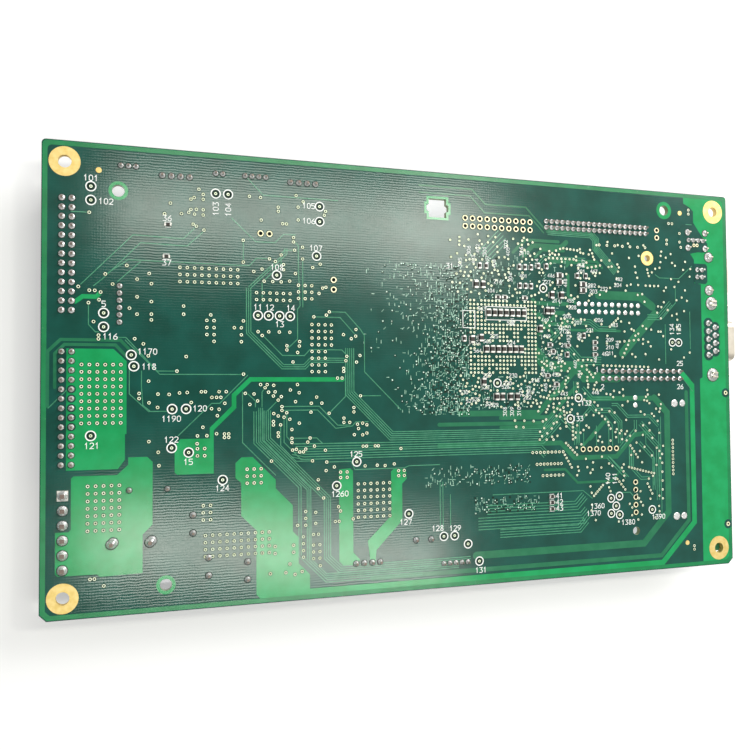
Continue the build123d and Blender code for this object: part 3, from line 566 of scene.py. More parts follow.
# %% Outlines of the pours
HEAD_SUPPLY = [
    (-105.5, 8), (-105.5, -24.8), (-92.3, -24.8), (-90.5, -22.3), (-90.5, -15.3), (-90.1, -15.3),
    (-90.1, 4.7), (-93.5, 8),
]
POWER_INPUT = [
    (-89.6, -21.7), (-89.6, -23.7), (-92.5, -26.4), (-103.6, -26.4), (-104.2, -27), (-104.2, -40.6),
    (-104.8, -41.2), (-108.1, -41.2), (-108.1, -52.2), (-107.5, -52.8), (-97.6, -52.9), (-96.8, -53.6),
    (-85.8, -53.4), (-85.8, -42.9), (-83.2, -40.3), (-83.2, -23.1), (-84.6, -21.7),
]
LOGIC_SUPPLY = [
    (-77.3, -19), (-77.3, -26.3), (-76.6, -26.9), (-66.6, -26.9), (-66.6, -14.5), (-67.7, -14.3),
    (-67.7, -17), (-75.7, -17),
]
MOTOR_SUPPLY = [
    (-60.5, -24.2), (-60.5, -28.4), (-58.9, -29.8), (-58.9, -39.2), (-54.6, -43.5), (-54.6, -61.8),
    (-53.5, -63), (-39, -63), (-39, -57.2), (-42.3, -53.8), (-42.3, -46.2), (-44, -44.5), (-44, -36.9),
    (-49, -31.8), (-49, -29.3), (-55.6, -22.6), (-58.8, -22.6),
]
FEED_PHASE_A = [
    (-30.1, -27), (-30.1, -54.1), (-28.6, -55.6), (-24.5, -55.6), (-23.8, -53.9), (-25.8, -51.8),
    (-25.8, -27.6), (-26.6, -26.8),
]
FEED_PHASE_B = [
    (-13.8, -28.2), (-13.8, -41.4), (-21.3, -48.6), (-20.5, -54.7), (-18.9, -54.7), (-18.6, -51.5),
    (-10.3, -43), (-10.3, -32), (-8.8, -30.5), (-9, -27.6), (-13, -27.4),
]
CHASSIS = [
    (99.6, -63), (110.3, -63), (111.7, -61.6), (111.7, 64.2), (94, 64.2), (94, 61), (96.5, 59.8), (98, 58.5),
    (98, 54.5), (101, 50.5), (101, 44.5), (96.5, 43.5), (98, 41.5), (98, 33.4), (100.7, 33), (100.7, 0.5),
    (99.6, 0),
]
print("corners of the chassis pour:", len(CHASSIS))

# %% Copper pours
SUPPLY_LOOP = [(91.4, 2.6), (96.2, -2.3), (96.2, -49.3), (83, -62.3), (-39, -62.3)]
LOGIC_FEED = [(-67.1, -14.3), (-60.9, -8.2), (-60.9, -4.8), (-56.2, -0.3), (-28.8, -0.3)]
PANEL_FEED = [(-103.4, 20.7), (-101.5, 22.2), (-98, 22.2), (-97, 23.4)]
ROUND_FIXING = 0.5

CORNER_DIMS = next(m["dims"] for m in frame["record"]["mounts"] if m["name"] == "corner_holes")
CORNER_HOLE = CORNER_DIMS["hole_r_mm"]
CORNERS = [
    (sx * CORNER_DIMS["spacing_x_mm"] / 2, sy * CORNER_DIMS["spacing_y_mm"] / 2)
    for sx in (-1, 1) for sy in (-1, 1)
]
pours = Relief()
for outline in (HEAD_SUPPLY, POWER_INPUT, LOGIC_SUPPLY, MOTOR_SUPPLY, FEED_PHASE_A, FEED_PHASE_B):
    pours.prism(outline, SUNK, POUR)
pours.plate(CHASSIS, [(x, y, CORNER_HOLE + ROUND_FIXING) for x, y in CORNERS if x > 0], SUNK, POUR)
for width, line in ((1.9, SUPPLY_LOOP), (1.3, LOGIC_FEED), (1.2, PANEL_FEED)):
    pours.track(line, width, SUNK, POUR + 0.003)
pours.make("copper_pours", "pour_lacquer")

# %% [markdown]
# A guard band of copper runs round the rim. It could be a long track, but a track's rounded corners
# would not follow the laminate's. So it is the strip between two outlines of the laminate, one drawn a
# little smaller than the other.

# %% Guard band round the rim
RIM_GAP = 0.25
RIM_WIDTH = 1.25
TOP_ROUND = 1.2
BOTTOM_CUT = 1.8
CUT_SHRINK = 0.4


def rim_loop(inset, height):
    """The laminate's outline moved in: round corners at the top, cut corners at the bottom."""
    left, right, bottom, top = LEFT + inset, RIGHT - inset, BOTTOM + inset, TOP - inset
    cut = BOTTOM_CUT - inset * CUT_SHRINK
    bend = TOP_ROUND
    quarter = [(math.sin(a), math.cos(a)) for a in (math.radians(15 * k) for k in range(7))]
    upper_right = [(right - bend + bend * s, top - bend + bend * c) for s, c in quarter]
    upper_left = [(left + bend - bend * s, top - bend + bend * c) for s, c in quarter[::-1]]
    lower = [(right, bottom + cut), (right - cut, bottom), (left + cut, bottom), (left, bottom + cut)]
    return [(x, y, height) for x, y in (upper_right + lower + upper_left)[::-1]]


guard_band = Relief()
inner_edge = RIM_GAP + RIM_WIDTH
guard_band.loops(
    [rim_loop(RIM_GAP, SUNK), rim_loop(RIM_GAP, BAND), rim_loop(inner_edge, BAND), rim_loop(inner_edge, SUNK)],
    closed=True,
)
guard_band.make("guard_band", "rim_lacquer")

# %% [markdown]
# Chassis ground wraps the connectors at the right edge, but it must keep clear of their live pins. The
# places of the pins could be typed again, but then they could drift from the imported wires. So they are
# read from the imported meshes: every vertex above the face belongs to a wire's end.

# %% Find the wire ends
# Each kind of wire: radius of its pad, height of its solder and radius of the solder at the wire.
JOINT_SIZES = {
    "panel_header_pins": (0.85, 0.34, 0.40), "print_head_header_pins": (0.78, 0.50, 0.38),
    "option_header_pins": (0.85, 0.36, 0.36), "interface_header_pins": (0.78, 0.32, 0.28),
    "fine_socket_pins": (0.75, 0.50, 0.28), "motor_socket_pins": (0.85, 0.55, 0.36),
    "serial_contacts": (1.05, 0.60, 0.38), "device_socket_contacts": (0.85, 0.45, 0.32),
    "aux_socket_contacts": (0.78, 0.40, 0.30), "capacitor_leads": (0.90, 0.75, 0.36),
    "choke_leads": (1.35, 0.95, 0.60), "film_capacitor_leads": (0.75, 0.75, 0.36),
    "power_connector_pins": (1.37, 0.80, 0.75), "serial_brackets": (2.30, 0.70, 1.50),
    "device_socket_shell": (1.75, 0.70, 0.95), "aux_socket_shell": (1.10, 0.45, 0.50),
}
# The widest that one wire can be, where it is more than a plain pin.
WIRE_SPAN = 1.3
WIDE_WIRES = {
    "power_connector_pins": 2.0, "serial_brackets": 3.5, "device_socket_shell": 2.5, "aux_socket_shell": 1.5,
}


def middle(across, along):
    return ((min(across) + max(across)) / 2, (min(along) + max(along)) / 2)


def wire_ends(node_name, reach):
    """Centres of a node's wires above the solder face; reach is the most that one wire can span."""
    tips = [v.co / MM for v in frame["nodes"][node_name].data.vertices if v.co.z > MM]
    groups = []
    for tip in tips:
        near = [g for g in groups if (g[0].xy - tip.xy).length < reach]
        if near:
            near[0].append(tip)
        else:
            groups.append([tip])
    return [middle([t.x for t in g], [t.y for t in g]) for g in groups]


WIRES = {name: wire_ends(name, WIDE_WIRES.get(name, WIRE_SPAN)) for name in JOINT_SIZES}
print("wire ends:", {name: len(places) for name, places in WIRES.items()})

# %% [markdown]
# Round each live pin the copper is etched away, and bare laminate shows through the mask as a dark
# spot. Cutting the pour would need a boolean for every pin. A dark slab a little above the pour looks
# the same and keeps both meshes simple.

# %% Dark clearances in the copper
DEVICE_CLEARANCE = [
    (98, 33.6), (99, 33.2), (102.8, 33.2), (103.5, 34), (103.5, 39.4), (102.8, 40.2), (98, 40.2),
]
AUX_CLEARANCE = [
    (92, 45.5), (93.5, 44.2), (102.6, 44.2), (103.8, 45.4), (103.8, 47.4), (101.4, 50), (98.6, 53.6),
    (93.6, 53.6), (92, 52),
]
EDGE_RINGS = [(110.3, -4.9), (110.3, -50.7)]
SERIAL_CLEARANCE = 1.95
EDGE_CLEARANCE = 1.6
HEAD_CLEARANCE = 1.15

clearances = Relief()
for i, (x, y) in enumerate(WIRES["serial_contacts"]):
    clearances.disc(x, y, SERIAL_CLEARANCE, SUNK, CLEARANCE + LAYER_STEP * (i + 1), 20)
for x, y in EDGE_RINGS:
    clearances.disc(x, y, EDGE_CLEARANCE, SUNK, CLEARANCE, 20)
for outline in (DEVICE_CLEARANCE, AUX_CLEARANCE):
    clearances.prism(outline[::-1], SUNK, CLEARANCE - 0.01)
head_pins = [p for p in WIRES["print_head_header_pins"] if p[0] > -105.0 and -14.0 < p[1] < -2.0]
for i, (x, y) in enumerate(head_pins):
    clearances.disc(x, y, HEAD_CLEARANCE, SUNK, CLEARANCE + LAYER_STEP * (i % 2), 16)
clearances.make("mask_clearances", "clearance_lacquer")

# %% [markdown]
# ## Plated rings
# Gold stays bright wherever the mask is open: round the fixing holes, where the screw heads touch, and
# on the fiducial marks that the placing machine looks for. The holes' centres come from the record's
# mounts, so a ring always sits on its hole. A thin barrel lines each hole with the same gold.

# %% Fixing rings and fiducials
FIDUCIALS = [(-97.5, 57), (92.4, 57.5), (93.1, -56.2)]
CORNER_RING = 4.05
STANDOFF_RING = 2.45
FIDUCIAL = 0.8
record_mounts = {mount["name"]: mount for mount in frame["record"]["mounts"]}


def mount_hole(name):
    """Centre and radius of a drilled mount, in millimetres."""
    mount = record_mounts[name]
    return mount["pos_m"][0] / MM, mount["pos_m"][1] / MM, mount["dims"]["r_mm"]


gold = Relief()
for x, y in CORNERS:
    gold.ring(x, y, CORNER_RING, CORNER_HOLE, SUNK, PAD, 40)
x, y, hole = mount_hole("standoff_hole")
gold.ring(x, y, STANDOFF_RING, hole, SUNK, PAD, 32)
for x, y, hole in [(x, y, CORNER_HOLE) for x, y in CORNERS] + [(x, y, hole)]:
    gold.ring(x, y, hole + 0.03, hole - 0.05, BACK - PAD_THICK, PAD + LAYER_STEP, 40)
for x, y in FIDUCIALS:
    gold.disc(x, y, FIDUCIAL, SUNK, PAD, 16)
gold.make("gold_rings", "plated_gold")

# %% [markdown]
# Plain green copper rings stand round the locating holes and round the square opening for the snap
# post. They share the pours' lacquer. The opening's rim is a strip between two outlines, like the
# guard band, because the opening has a nose on each side that a round ring would miss.

# %% Rings of the locating holes and the snap-post opening
halos = Relief()
for name, outer in (("peg_hole_left", 2.6), ("peg_hole_right", 3.0), ("peg_hole_bottom", 2.6)):
    x, y, hole = mount_hole(name)
    halos.ring(x, y, outer, hole + 0.05, SUNK, POUR, 32)
halos.make("peg_halos", "pour_lacquer")

post = frame["record"]["physics"]["openings"][0]["box_m"]
POST_X = (post[0][0] + post[1][0]) / 2 / MM
POST_Y = (post[0][1] + post[1][1]) / 2 / MM
POST_HALF = 2.9
NOSE_HALF = 3.65
NOSE_WIDTH = 1.1
POST_RIM = 0.75
POST_CLEAR = 0.02


def post_loop(grow, height):
    """The square opening with a nose on each side, made larger all round by grow."""
    h, n, w = POST_HALF + grow, NOSE_HALF + grow, NOSE_WIDTH + grow
    half = [(h, -h), (h, -w), (n, -w), (n, w), (h, w), (h, h)]
    outline = half + [(-x, -y) for x, y in half]
    return [(POST_X + x, POST_Y + y, height) for x, y in outline]


post_rim = Relief()
post_rim.loops(
    [
        post_loop(POST_RIM, SUNK), post_loop(POST_RIM, POUR),
        post_loop(POST_CLEAR, POUR), post_loop(POST_CLEAR, SUNK),
    ],
    closed=True,
)
post_rim.make("snap_post_rim", "pour_lacquer")

# %% [markdown]
# ## Solder joints
# Molten solder wets both the ring and the wire, and freezes as a small concave tent. It could be
# sculpted once and copied, but its radius and height differ from part to part. A profile turned about
# the wire takes those as numbers. Plugged holes, where no part sits, froze as flat drops instead.

# %% Shapes of the solder
TENT_STEPS = (0.0, 0.25, 0.5, 0.75, 1.0)
TENT_HOLLOW = 2.0
DOME_ANGLES = (0, 30, 55, 78)
solder_joints = Relief()


def solder_tent(x, y, pad, height, tip, sides):
    """A concave cone from the pad up to the wire."""
    slope = [(tip + (pad - tip) * (1 - t) ** TENT_HOLLOW, PAD + height * t) for t in TENT_STEPS]
    solder_joints.turned(x, y, [(pad, SUNK)] + slope, sides)


def solder_dome(x, y, radius, height, sides=14):
    """A flat drop of solder over a plugged hole."""
    angles = [math.radians(a) for a in DOME_ANGLES]
    bow = [(radius * math.cos(a), PAD + height * math.sin(a)) for a in angles]
    solder_joints.turned(x, y, [(radius, SUNK)] + bow, sides)


LARGE_PAD = 1.2
for name, (pad, height, tip) in JOINT_SIZES.items():
    for x, y in WIRES[name]:
        solder_tent(x, y, pad, height, tip, sides=20 if pad > LARGE_PAD else 14)
print("joints:", sum(len(places) for places in WIRES.values()))

# %% Plugged holes
PLUGS = [(51.95 + i * 2.54, y) for i in range(10) for y in (24.7, 22.2)]
LARGE_PLUGS = [
    (73.1, -6.4, 0.85), (73.1, -8.9, 0.85), (88.8, -8.4, 1.3), (92.0, -8.4, 1.15), (89.0, -46.9, 1.3),
    (92.0, -46.9, 1.15),
]
for x, y in PLUGS:
    solder_dome(x, y, 0.78, 0.07)
for x, y, radius in LARGE_PLUGS:
    solder_dome(x, y, radius, 0.09, sides=20)
solder_joints.make("solder_joints", "solder", smooth=True)

# %% [markdown]
# The first pin of the power connector has a square pad, so that a hand can find it without a drawing.

# %% Square pad of a first pin
PAD_HALF = 1.4
first_pads = Relief()
x, y = max(WIRES["power_connector_pins"], key=lambda place: place[1])
first_pads.box(x - PAD_HALF, y - PAD_HALF, x + PAD_HALF, y + PAD_HALF, SUNK, PAD)
first_pads.make("first_pin_pads", "chip_tin")

# %% [markdown]
# ## Plated holes and vias
# A via is a tiny plated hole that joins the copper of two layers. Where a part sheds heat, dozens stand in a
# grid. Drilling a thousand of them would make the board's mesh very heavy, so a via is drawn as a ring with a
# dark disc in it, painted shade for the inside of the hole. A dark gap round the ring is where the mask keeps
# off the metal, painted darker than bare laminate as shade at the ring's edge.

# %% Rings with dark holes
VIA_OUTER = 0.48
VIA_INNER = 0.27
FINE_VIA = (0.38, 0.15)
STRING_VIA = (0.40, 0.18)
TEST_VIA = (0.45, 0.2)
MASK_GAP = 0.16
CLEAR_OF_VIA = 1.0
SAME_PLACE = 0.5
via_rings = Relief()
hole_shade_discs = Relief()
mask_gaps_and_shade = Relief()
hole_rings = Relief()
taken = []


def via(x, y, outer=VIA_OUTER, inner=VIA_INNER):
    """A via, unless one stands there already."""
    if any(abs(x - a) < SAME_PLACE and abs(y - b) < SAME_PLACE for a, b, _ in taken):
        return
    taken.append((x, y, CLEAR_OF_VIA))
    # The dark gap is partly the mask's opening and partly painted shade round the ring.
    mask_gaps_and_shade.disc(x, y, outer + MASK_GAP, SUNK, GAP, 8)
    via_rings.ring(x, y, outer, inner, SUNK, PAD, 8)
    # Painted shade: a dark disc stands for the inside of the hole.
    hole_shade_discs.disc(x, y, inner + 0.01, SUNK, HOLE, 6)


def empty_hole(x, y, outer=0.9, inner=0.58):
    """A plated hole that could take a part."""
    mask_gaps_and_shade.disc(x, y, outer + MASK_GAP, SUNK, GAP, 16)
    hole_rings.ring(x, y, outer, inner, SUNK, PAD, 16)
    hole_shade_discs.disc(x, y, inner + 0.01, SUNK, HOLE, 12)


def grid(first_x, last_x, columns, first_y, last_y, rows):
    """Evenly spaced places over a rectangle."""
    def spread(a, b, n):
        return [a + (b - a) * i / max(1, n - 1) for i in range(n)]
    return [(x, y) for y in spread(first_y, last_y, rows) for x in spread(first_x, last_x, columns)]


VIA_GRIDS = [
    (-101.7, -91.6, 6, 3.7, -12.2, 9), (-100, -91.9, 5, -29.2, -41.2, 7), (-75.9, -59.8, 9, 31.2, 27.2, 3),
    (-38.1, -34.1, 3, 15.9, 2, 8), (-32.2, -32.2, 1, 15.9, 9.9, 4), (-24.2, -14.3, 6, -31.5, -41.4, 6),
    (-68.9, -50.9, 10, -44.2, -50.1, 4), (-42.1, -38.1, 3, 27.4, 23.5, 3), (-54.4, -44.6, 6, 24.8, 22.8, 2),
    (-69.5, -67.5, 2, -35.8, -39.8, 3), (-57.2, -53.2, 3, -26, -30, 3), (-68.5, -66.5, 2, 16.4, 12.4, 3),
    (87.8, 87.8, 1, -21, -32.5, 10), (35.7, 44.6, 8, -27.6, -27.6, 1), (37.8, 45.1, 6, -31.3, -31.3, 1),
    (34.2, 45.3, 9, -23.8, -23.8, 1), (60, 78, 7, 44.7, 44.7, 1),
]
for field in VIA_GRIDS:
    for x, y in grid(*field):
        via(x, y)
print("vias in grids:", len(taken))

# %% Gaps round the joints, darkened as painted shade, and holes without parts
for name, (pad, _, _) in JOINT_SIZES.items():
    for i, (x, y) in enumerate(WIRES[name]):
        # Painted shade: a dark ring round the foot of each joint, in the mask's gap.
        mask_gaps_and_shade.disc(x, y, pad + MASK_GAP, SUNK, GAP - 0.003 - LAYER_STEP * (i % 4), 16)

HOLE_ROWS = [
    (11.42, 34.28, 10, 50.75, 48.2, 2), (52.75, 65.45, 6, -23.2, -23.2, 1), (72.7, 72.7, 1, -34.7, -44.8, 5),
    (82.8, 82.8, 1, 50.9, 48.35, 2), (-53.2, -50.6, 2, 42.1, 42.1, 1), (-31.4, -31.4, 1, 29.4, 26.5, 2),
]
EMPTY_HOLES = [place for field in HOLE_ROWS for place in grid(*field)]
for x, y in EMPTY_HOLES:
    empty_hole(x, y)
for x, y in EDGE_RINGS:
    empty_hole(x, y, 0.75, 0.35)
for x in (98.1, 99.4):
    empty_hole(x, 46.6, 0.6, 0.3)
print("holes without parts:", len(EMPTY_HOLES) + len(EDGE_RINGS) + 2)

# %% [markdown]
# ## White legend
# The legend is printed ink. Rings mark the test points, where a probe can touch the board, and numbers
# name them. A text object would need a font, whose outlines are heavy. Here each digit is drawn as a
# pen plotter draws it, from a few straight strokes, which is also how real board software does it.

# %% Test-point rings
TEST_POINTS = [
    (-99.5, 52.4), (-99.5, 48.6), (-66, 52.8), (-62.5, 52.8), (-35.6, 51.1), (-35.6, 46.6), (-36.6, 36.3),
    (-48.5, 30.1), (-54, 18.2), (-50.9, 18.2), (-47.7, 18.2), (-44.6, 18.2), (-96.1, 17.8), (-96.1, 14),
    (-88.9, 6.4), (-88.2, 3.3), (-78, -8.6), (-74.2, -8.6), (-99.3, -15.6), (-78.1, -19.4), (-73.5, -20.8),
    (-64.1, -28.8), (-24.6, -24.9), (-30.8, -31.8), (-8.2, -41.2), (3.2, -48.7), (6.8, -48.7), (11.3, -51.5),
    (15.1, -57.1), (22, -1.4), (38.8, 29.4), (51.3, -6.3), (48.2, -13.1), (88.4, 12.5), (91, 12.5),
    (63.1, -39.7), (66.3, -39.1), (65, -42.3), (63.1, -44.7), (66.3, -45.3), (79.1, -44.2),
]
TEST_OUTER = 1.45
TEST_INNER = 1.12
legend = Relief()
for x, y in TEST_POINTS:
    mask_gaps_and_shade.disc(x, y, 1.1, SUNK, GAP - 0.006, 20)
    legend.ring(x, y, TEST_OUTER, TEST_INNER, SUNK, LEGEND, 24)
    via(x, y, *TEST_VIA)
print("test points:", len(TEST_POINTS))

# %% Plotter digits
STROKES = {
    "0": [[(0.6, 0.2), (0.6, 0.8), (0.4, 1), (0.2, 1), (0, 0.8), (0, 0.2), (0.2, 0), (0.4, 0), (0.58, 0.18)]],
    "1": [[(0.1, 0.75), (0.3, 1), (0.3, 0)]],
    "2": [[(0, 0.85), (0.15, 1), (0.45, 1), (0.6, 0.85), (0.6, 0.6), (0, 0), (0.6, 0)]],
    "3": [[(0, 1), (0.6, 1), (0.3, 0.6), (0.6, 0.4), (0.6, 0.15), (0.45, 0), (0, 0)]],
    "4": [[(0.45, 0), (0.45, 1), (0, 0.3), (0.6, 0.3)]],
    "5": [[(0.6, 1), (0, 1), (0, 0.58), (0.45, 0.58), (0.6, 0.42), (0.6, 0.15), (0.45, 0), (0, 0)]],
    "6": [[(0.5, 1), (0, 0.5), (0, 0.15), (0.15, 0), (0.45, 0),
          (0.6, 0.15), (0.6, 0.4), (0.45, 0.55), (0.08, 0.5)]],
    "7": [[(0, 1), (0.6, 1), (0.2, 0)]],
    "8": [[(0.3, 0.55), (0.06, 0.75), (0.15, 1), (0.45, 1), (0.54, 0.75), (0.3, 0.55)],
          [(0.3, 0.52), (0, 0.25), (0.12, 0), (0.48, 0), (0.6, 0.25), (0.3, 0.52)]],
    "9": [[(0.1, 0), (0.6, 0.5), (0.6, 0.85), (0.45, 1), (0.15, 1),
          (0, 0.85), (0, 0.6), (0.15, 0.45), (0.52, 0.5)]],
}
DIGIT_STEP = 0.9
DIGIT_WIDTH = 0.6


def number(x, y, text, height=1.5, upright=False, pen=0.2):
    """A number centred on x, y; upright turns it a quarter."""
    width = ((len(text) - 1) * DIGIT_STEP + DIGIT_WIDTH) * height
    for i, digit in enumerate(text):
        for stroke in STROKES[digit]:
            spots = [((u + i * DIGIT_STEP) * height - width / 2, (v - 0.5) * height) for u, v in stroke]
            if upright:
                spots = [(-v, u) for u, v in spots]
            line = [(x + u, y + v) for u, v in spots]
            legend.prism(track_outline(line, pen), SUNK, LEGEND)


print("digits:", "".join(STROKES))

# %% Numbers of the test points and connectors
NUMBERS = [
    (-99.5, 54.7, "101"), (-95.6, 48.5, "102"), (-38.9, 51.1, "105"), (-38.9, 46.6, "106"),
    (-36.8, 38.6, "107"), (-48.4, 32.4, "108"), (-54, 20.6, "11"), (-50.6, 20.6, "12"), (-44.4, 20.6, "14"),
    (-47.7, 15.8, "13"), (-96.1, 20.3, "5"), (-94.4, 11.4, "116"), (-84.6, 7.4, "1170"), (-84.2, 3.2, "118"),
    (-78.2, -11.3, "1190"), (-70.4, -8.5, "120"), (-99, -18.3, "121"), (-78.2, -17.1, "122"),
    (-73.6, -23.4, "15"), (-64.2, -31.1, "124"), (-24.8, -22.6, "125"), (-29.8, -34.2, "1260"),
    (-9.2, -43.6, "127"), (1.2, -46.1, "128"), (7, -46.4, "129"), (15.6, -59.9, "131"), (54.2, -8, "132"),
    (51, -13.1, "133"), (43.7, -38, "41"), (43.7, -40, "42"), (43.7, -42, "43"), (57.9, -42, "1360"),
    (56.4, -44.3, "1370"), (69.6, -47.9, "1380"), (81.6, -46.7, "1390"), (-79.4, 44.9, "36"),
    (-79.5, 32.4, "37"), (58.5, 3, "1"), (91.3, 5.3, "25"), (60.5, -2.7, "2"), (91.3, -2.7, "26"),
    (6, 35.3, "31"),
]
UPRIGHT_NUMBERS = [
    (-66, 48.4, "103"), (-62.5, 48.4, "104"), (88.3, 17, "134"), (91.1, 17, "135"), (62, -33.2, "140"),
    (64.6, -33.2, "141"),
]
for x, y, text in NUMBERS:
    number(x, y, text)
for x, y, text in UPRIGHT_NUMBERS:
    number(x, y, text, upright=True)
print("large numbers:", len(NUMBERS) + len(UPRIGHT_NUMBERS))

# %% Small numbers of the chip parts
SMALL_NUMBERS = [
    (53, 35.5), (57, 31), (57.5, 29), (67, 31.5), (47.5, 20.5), (59.5, 19.5), (51.5, 18.5), (52.5, 14),
    (63.5, 13), (63.5, 10.5), (63.5, 8.5), (46, 15.5), (46.5, 11), (43.5, 25.5), (41.5, 22.5), (22.5, 31),
    (43, -3), (35.5, -0.5), (33.5, -4.5), (25.5, -1.5), (23, -6), (32.5, -6), (41.5, 8.5), (27, 11.5),
    (21, 13.5), (30, 10), (40, 31.5), (49.5, 23.5), (18.5, 1), (27.5, 1), (56, 16), (61.5, 30),
]
SMALL_UPRIGHT = [
    (18, 40.5), (25.5, 43), (15, 30), (27, 32.5), (9.5, 36.5), (12.5, 40.5), (44.5, 6.5), (24.5, -10.5),
    (27, -10.5), (29.5, -10.5), (18.5, -7.5), (13, 12), (15.5, 12), (36.5, 37.5), (48, 16), (31, 41),
]
SMALL_HEIGHT = 1.15
SMALL_PEN = 0.14
FIRST_SMALL = 201
FIRST_UPRIGHT = 301
for i, (x, y) in enumerate(SMALL_NUMBERS):
    number(x, y, str(FIRST_SMALL + i), SMALL_HEIGHT, False, SMALL_PEN)
for i, (x, y) in enumerate(SMALL_UPRIGHT):
    number(x, y, str(FIRST_UPRIGHT + i), SMALL_HEIGHT, True, SMALL_PEN)
print("small numbers:", len(SMALL_NUMBERS) + len(SMALL_UPRIGHT))

# %% Legend boxes
LEGEND_LINES = [
    [(10.3, 16), (14.4, 16), (14.4, 21.4), (10.3, 21.4), (10.3, 16.1)],
    [(18.3, 18.7), (32.5, 18.7), (32.5, 22.9), (18.3, 22.9), (18.3, 18.8)],
]
for line in LEGEND_LINES:
    legend.prism(track_outline(line, 0.2), SUNK, LEGEND)
print("boxes:", len(LEGEND_LINES))

# %% [markdown]
# ## Tracks
# Tracks carry signals between the vias. They turn by 45 degrees, because a square corner etches badly.
# The long routes are written as lists of corners, with the widest first, and a bundle of parallel
# tracks is worked out from its middle line, so that a bus of ten costs no more to write than one.

# %% Wide routes
WIDE_ROUTES = [
    (2.3, [(80.6, -6.4), (85.7, -11.5), (85.7, -45.2), (75.7, -55.3), (14, -55.3)]),
    (1.4, [(93.7, -4.6), (93.9, -48.6), (82.6, -59.8), (-20, -59.8)]),
    (1.5, [(2, -20.9), (44.5, -20.9), (49.5, -25.9), (65.5, -25.9), (72.5, -18.9), (78, -18.2)]),
    (1.2, [(2, -14.3), (38.5, -14.3), (44.6, -8.3), (48, -4.6)]), (1, [(51.8, -23), (60.8, -14)]),
    (1.6, [(55, -6.6), (80.8, -6.6), (84, -9)]), (2.9, [(59.5, 27.9), (75.5, 27.9), (80.5, 24.6)]),
    (3, [(81.6, 22), (74.5, 15), (68.5, 8.6)]), (1.5, [(40.8, 48.2), (57, 48), (58.7, 46.3), (58.7, 43)]),
    (1.6, [(31.5, 39.5), (35.2, 43.2), (45.6, 43.2), (47.5, 44.9)]),
    (1, [(28, 40.6), (32.4, 44.9), (44.6, 44.9)]),
    (1.6, [(40.2, 36.4), (42.4, 38.6), (53, 38.6), (54.4, 37.4), (59, 37.4)]),
    (2.2, [(36.6, 9), (40.5, 4.6), (52, 4.6), (56.5, 1), (60.5, 1)]),
    (1.2, [(37, 21), (41, 17.8), (46, 17.8)]), (0.9, [(47.5, 37), (49.5, 39), (59, 39), (61, 37)]),
    (1, [(36, 39.5), (38.5, 42), (46.5, 42)]), (1.1, [(48, 34), (48, 27.5), (50.5, 25)]),
    (1.3, [(35, 25.5), (36, 24.5), (47.5, 24.5)]), (1.4, [(37, 14.5), (44, 21.5), (46, 21.5)]),
    (0.9, [(35, 22), (42, 15)]), (0.8, [(45, 20), (49, 16), (67.5, 16)]),
    (2.4, [(37, 6), (39.5, 3.5), (50, 3.5), (53.5, 0), (66.5, 0)]), (1.8, [(49.5, 2), (36.5, -11), (9, -11)]),
    (0.8, [(36, 11.5), (36, 7.5), (38.5, 5), (44.5, 5)]), (1.3, [(23, -12.5), (40.5, -12.5), (50, -3)]),
    (1, [(23, -15.5), (40.5, -15.5), (45.5, -10.5)]), (0.9, [(62, -13.5), (55.5, -20)]),
    (0.8, [(38.5, -29.5), (46, -29.5), (50.5, -34), (63.5, -34), (67.5, -30)]),
    (0.55, [(-4, 60), (13.8, 60), (18.5, 55.5), (32.8, 55.5), (39.8, 48.6)]),
    (0.85, [(-110.2, -7.5), (-110.2, 7.2), (-107, 10.4), (-91.7, 10.4), (-89, 7.5)]),
    (0.85, [(-108.4, -2.5), (-108.4, 6.6), (-106, 9.1), (-93, 9.1), (-89.8, 5.6)]),
    (0.45, [(-4, 57.8), (13.2, 57.8), (18.2, 52.8), (34, 52.8), (39.2, 47.6)]),
]
wide_tracks = Relief()
for width, line in WIDE_ROUTES:
    wide_tracks.track(line, width, SUNK, BAND)
wide_tracks.make("wide_tracks", "band_lacquer")

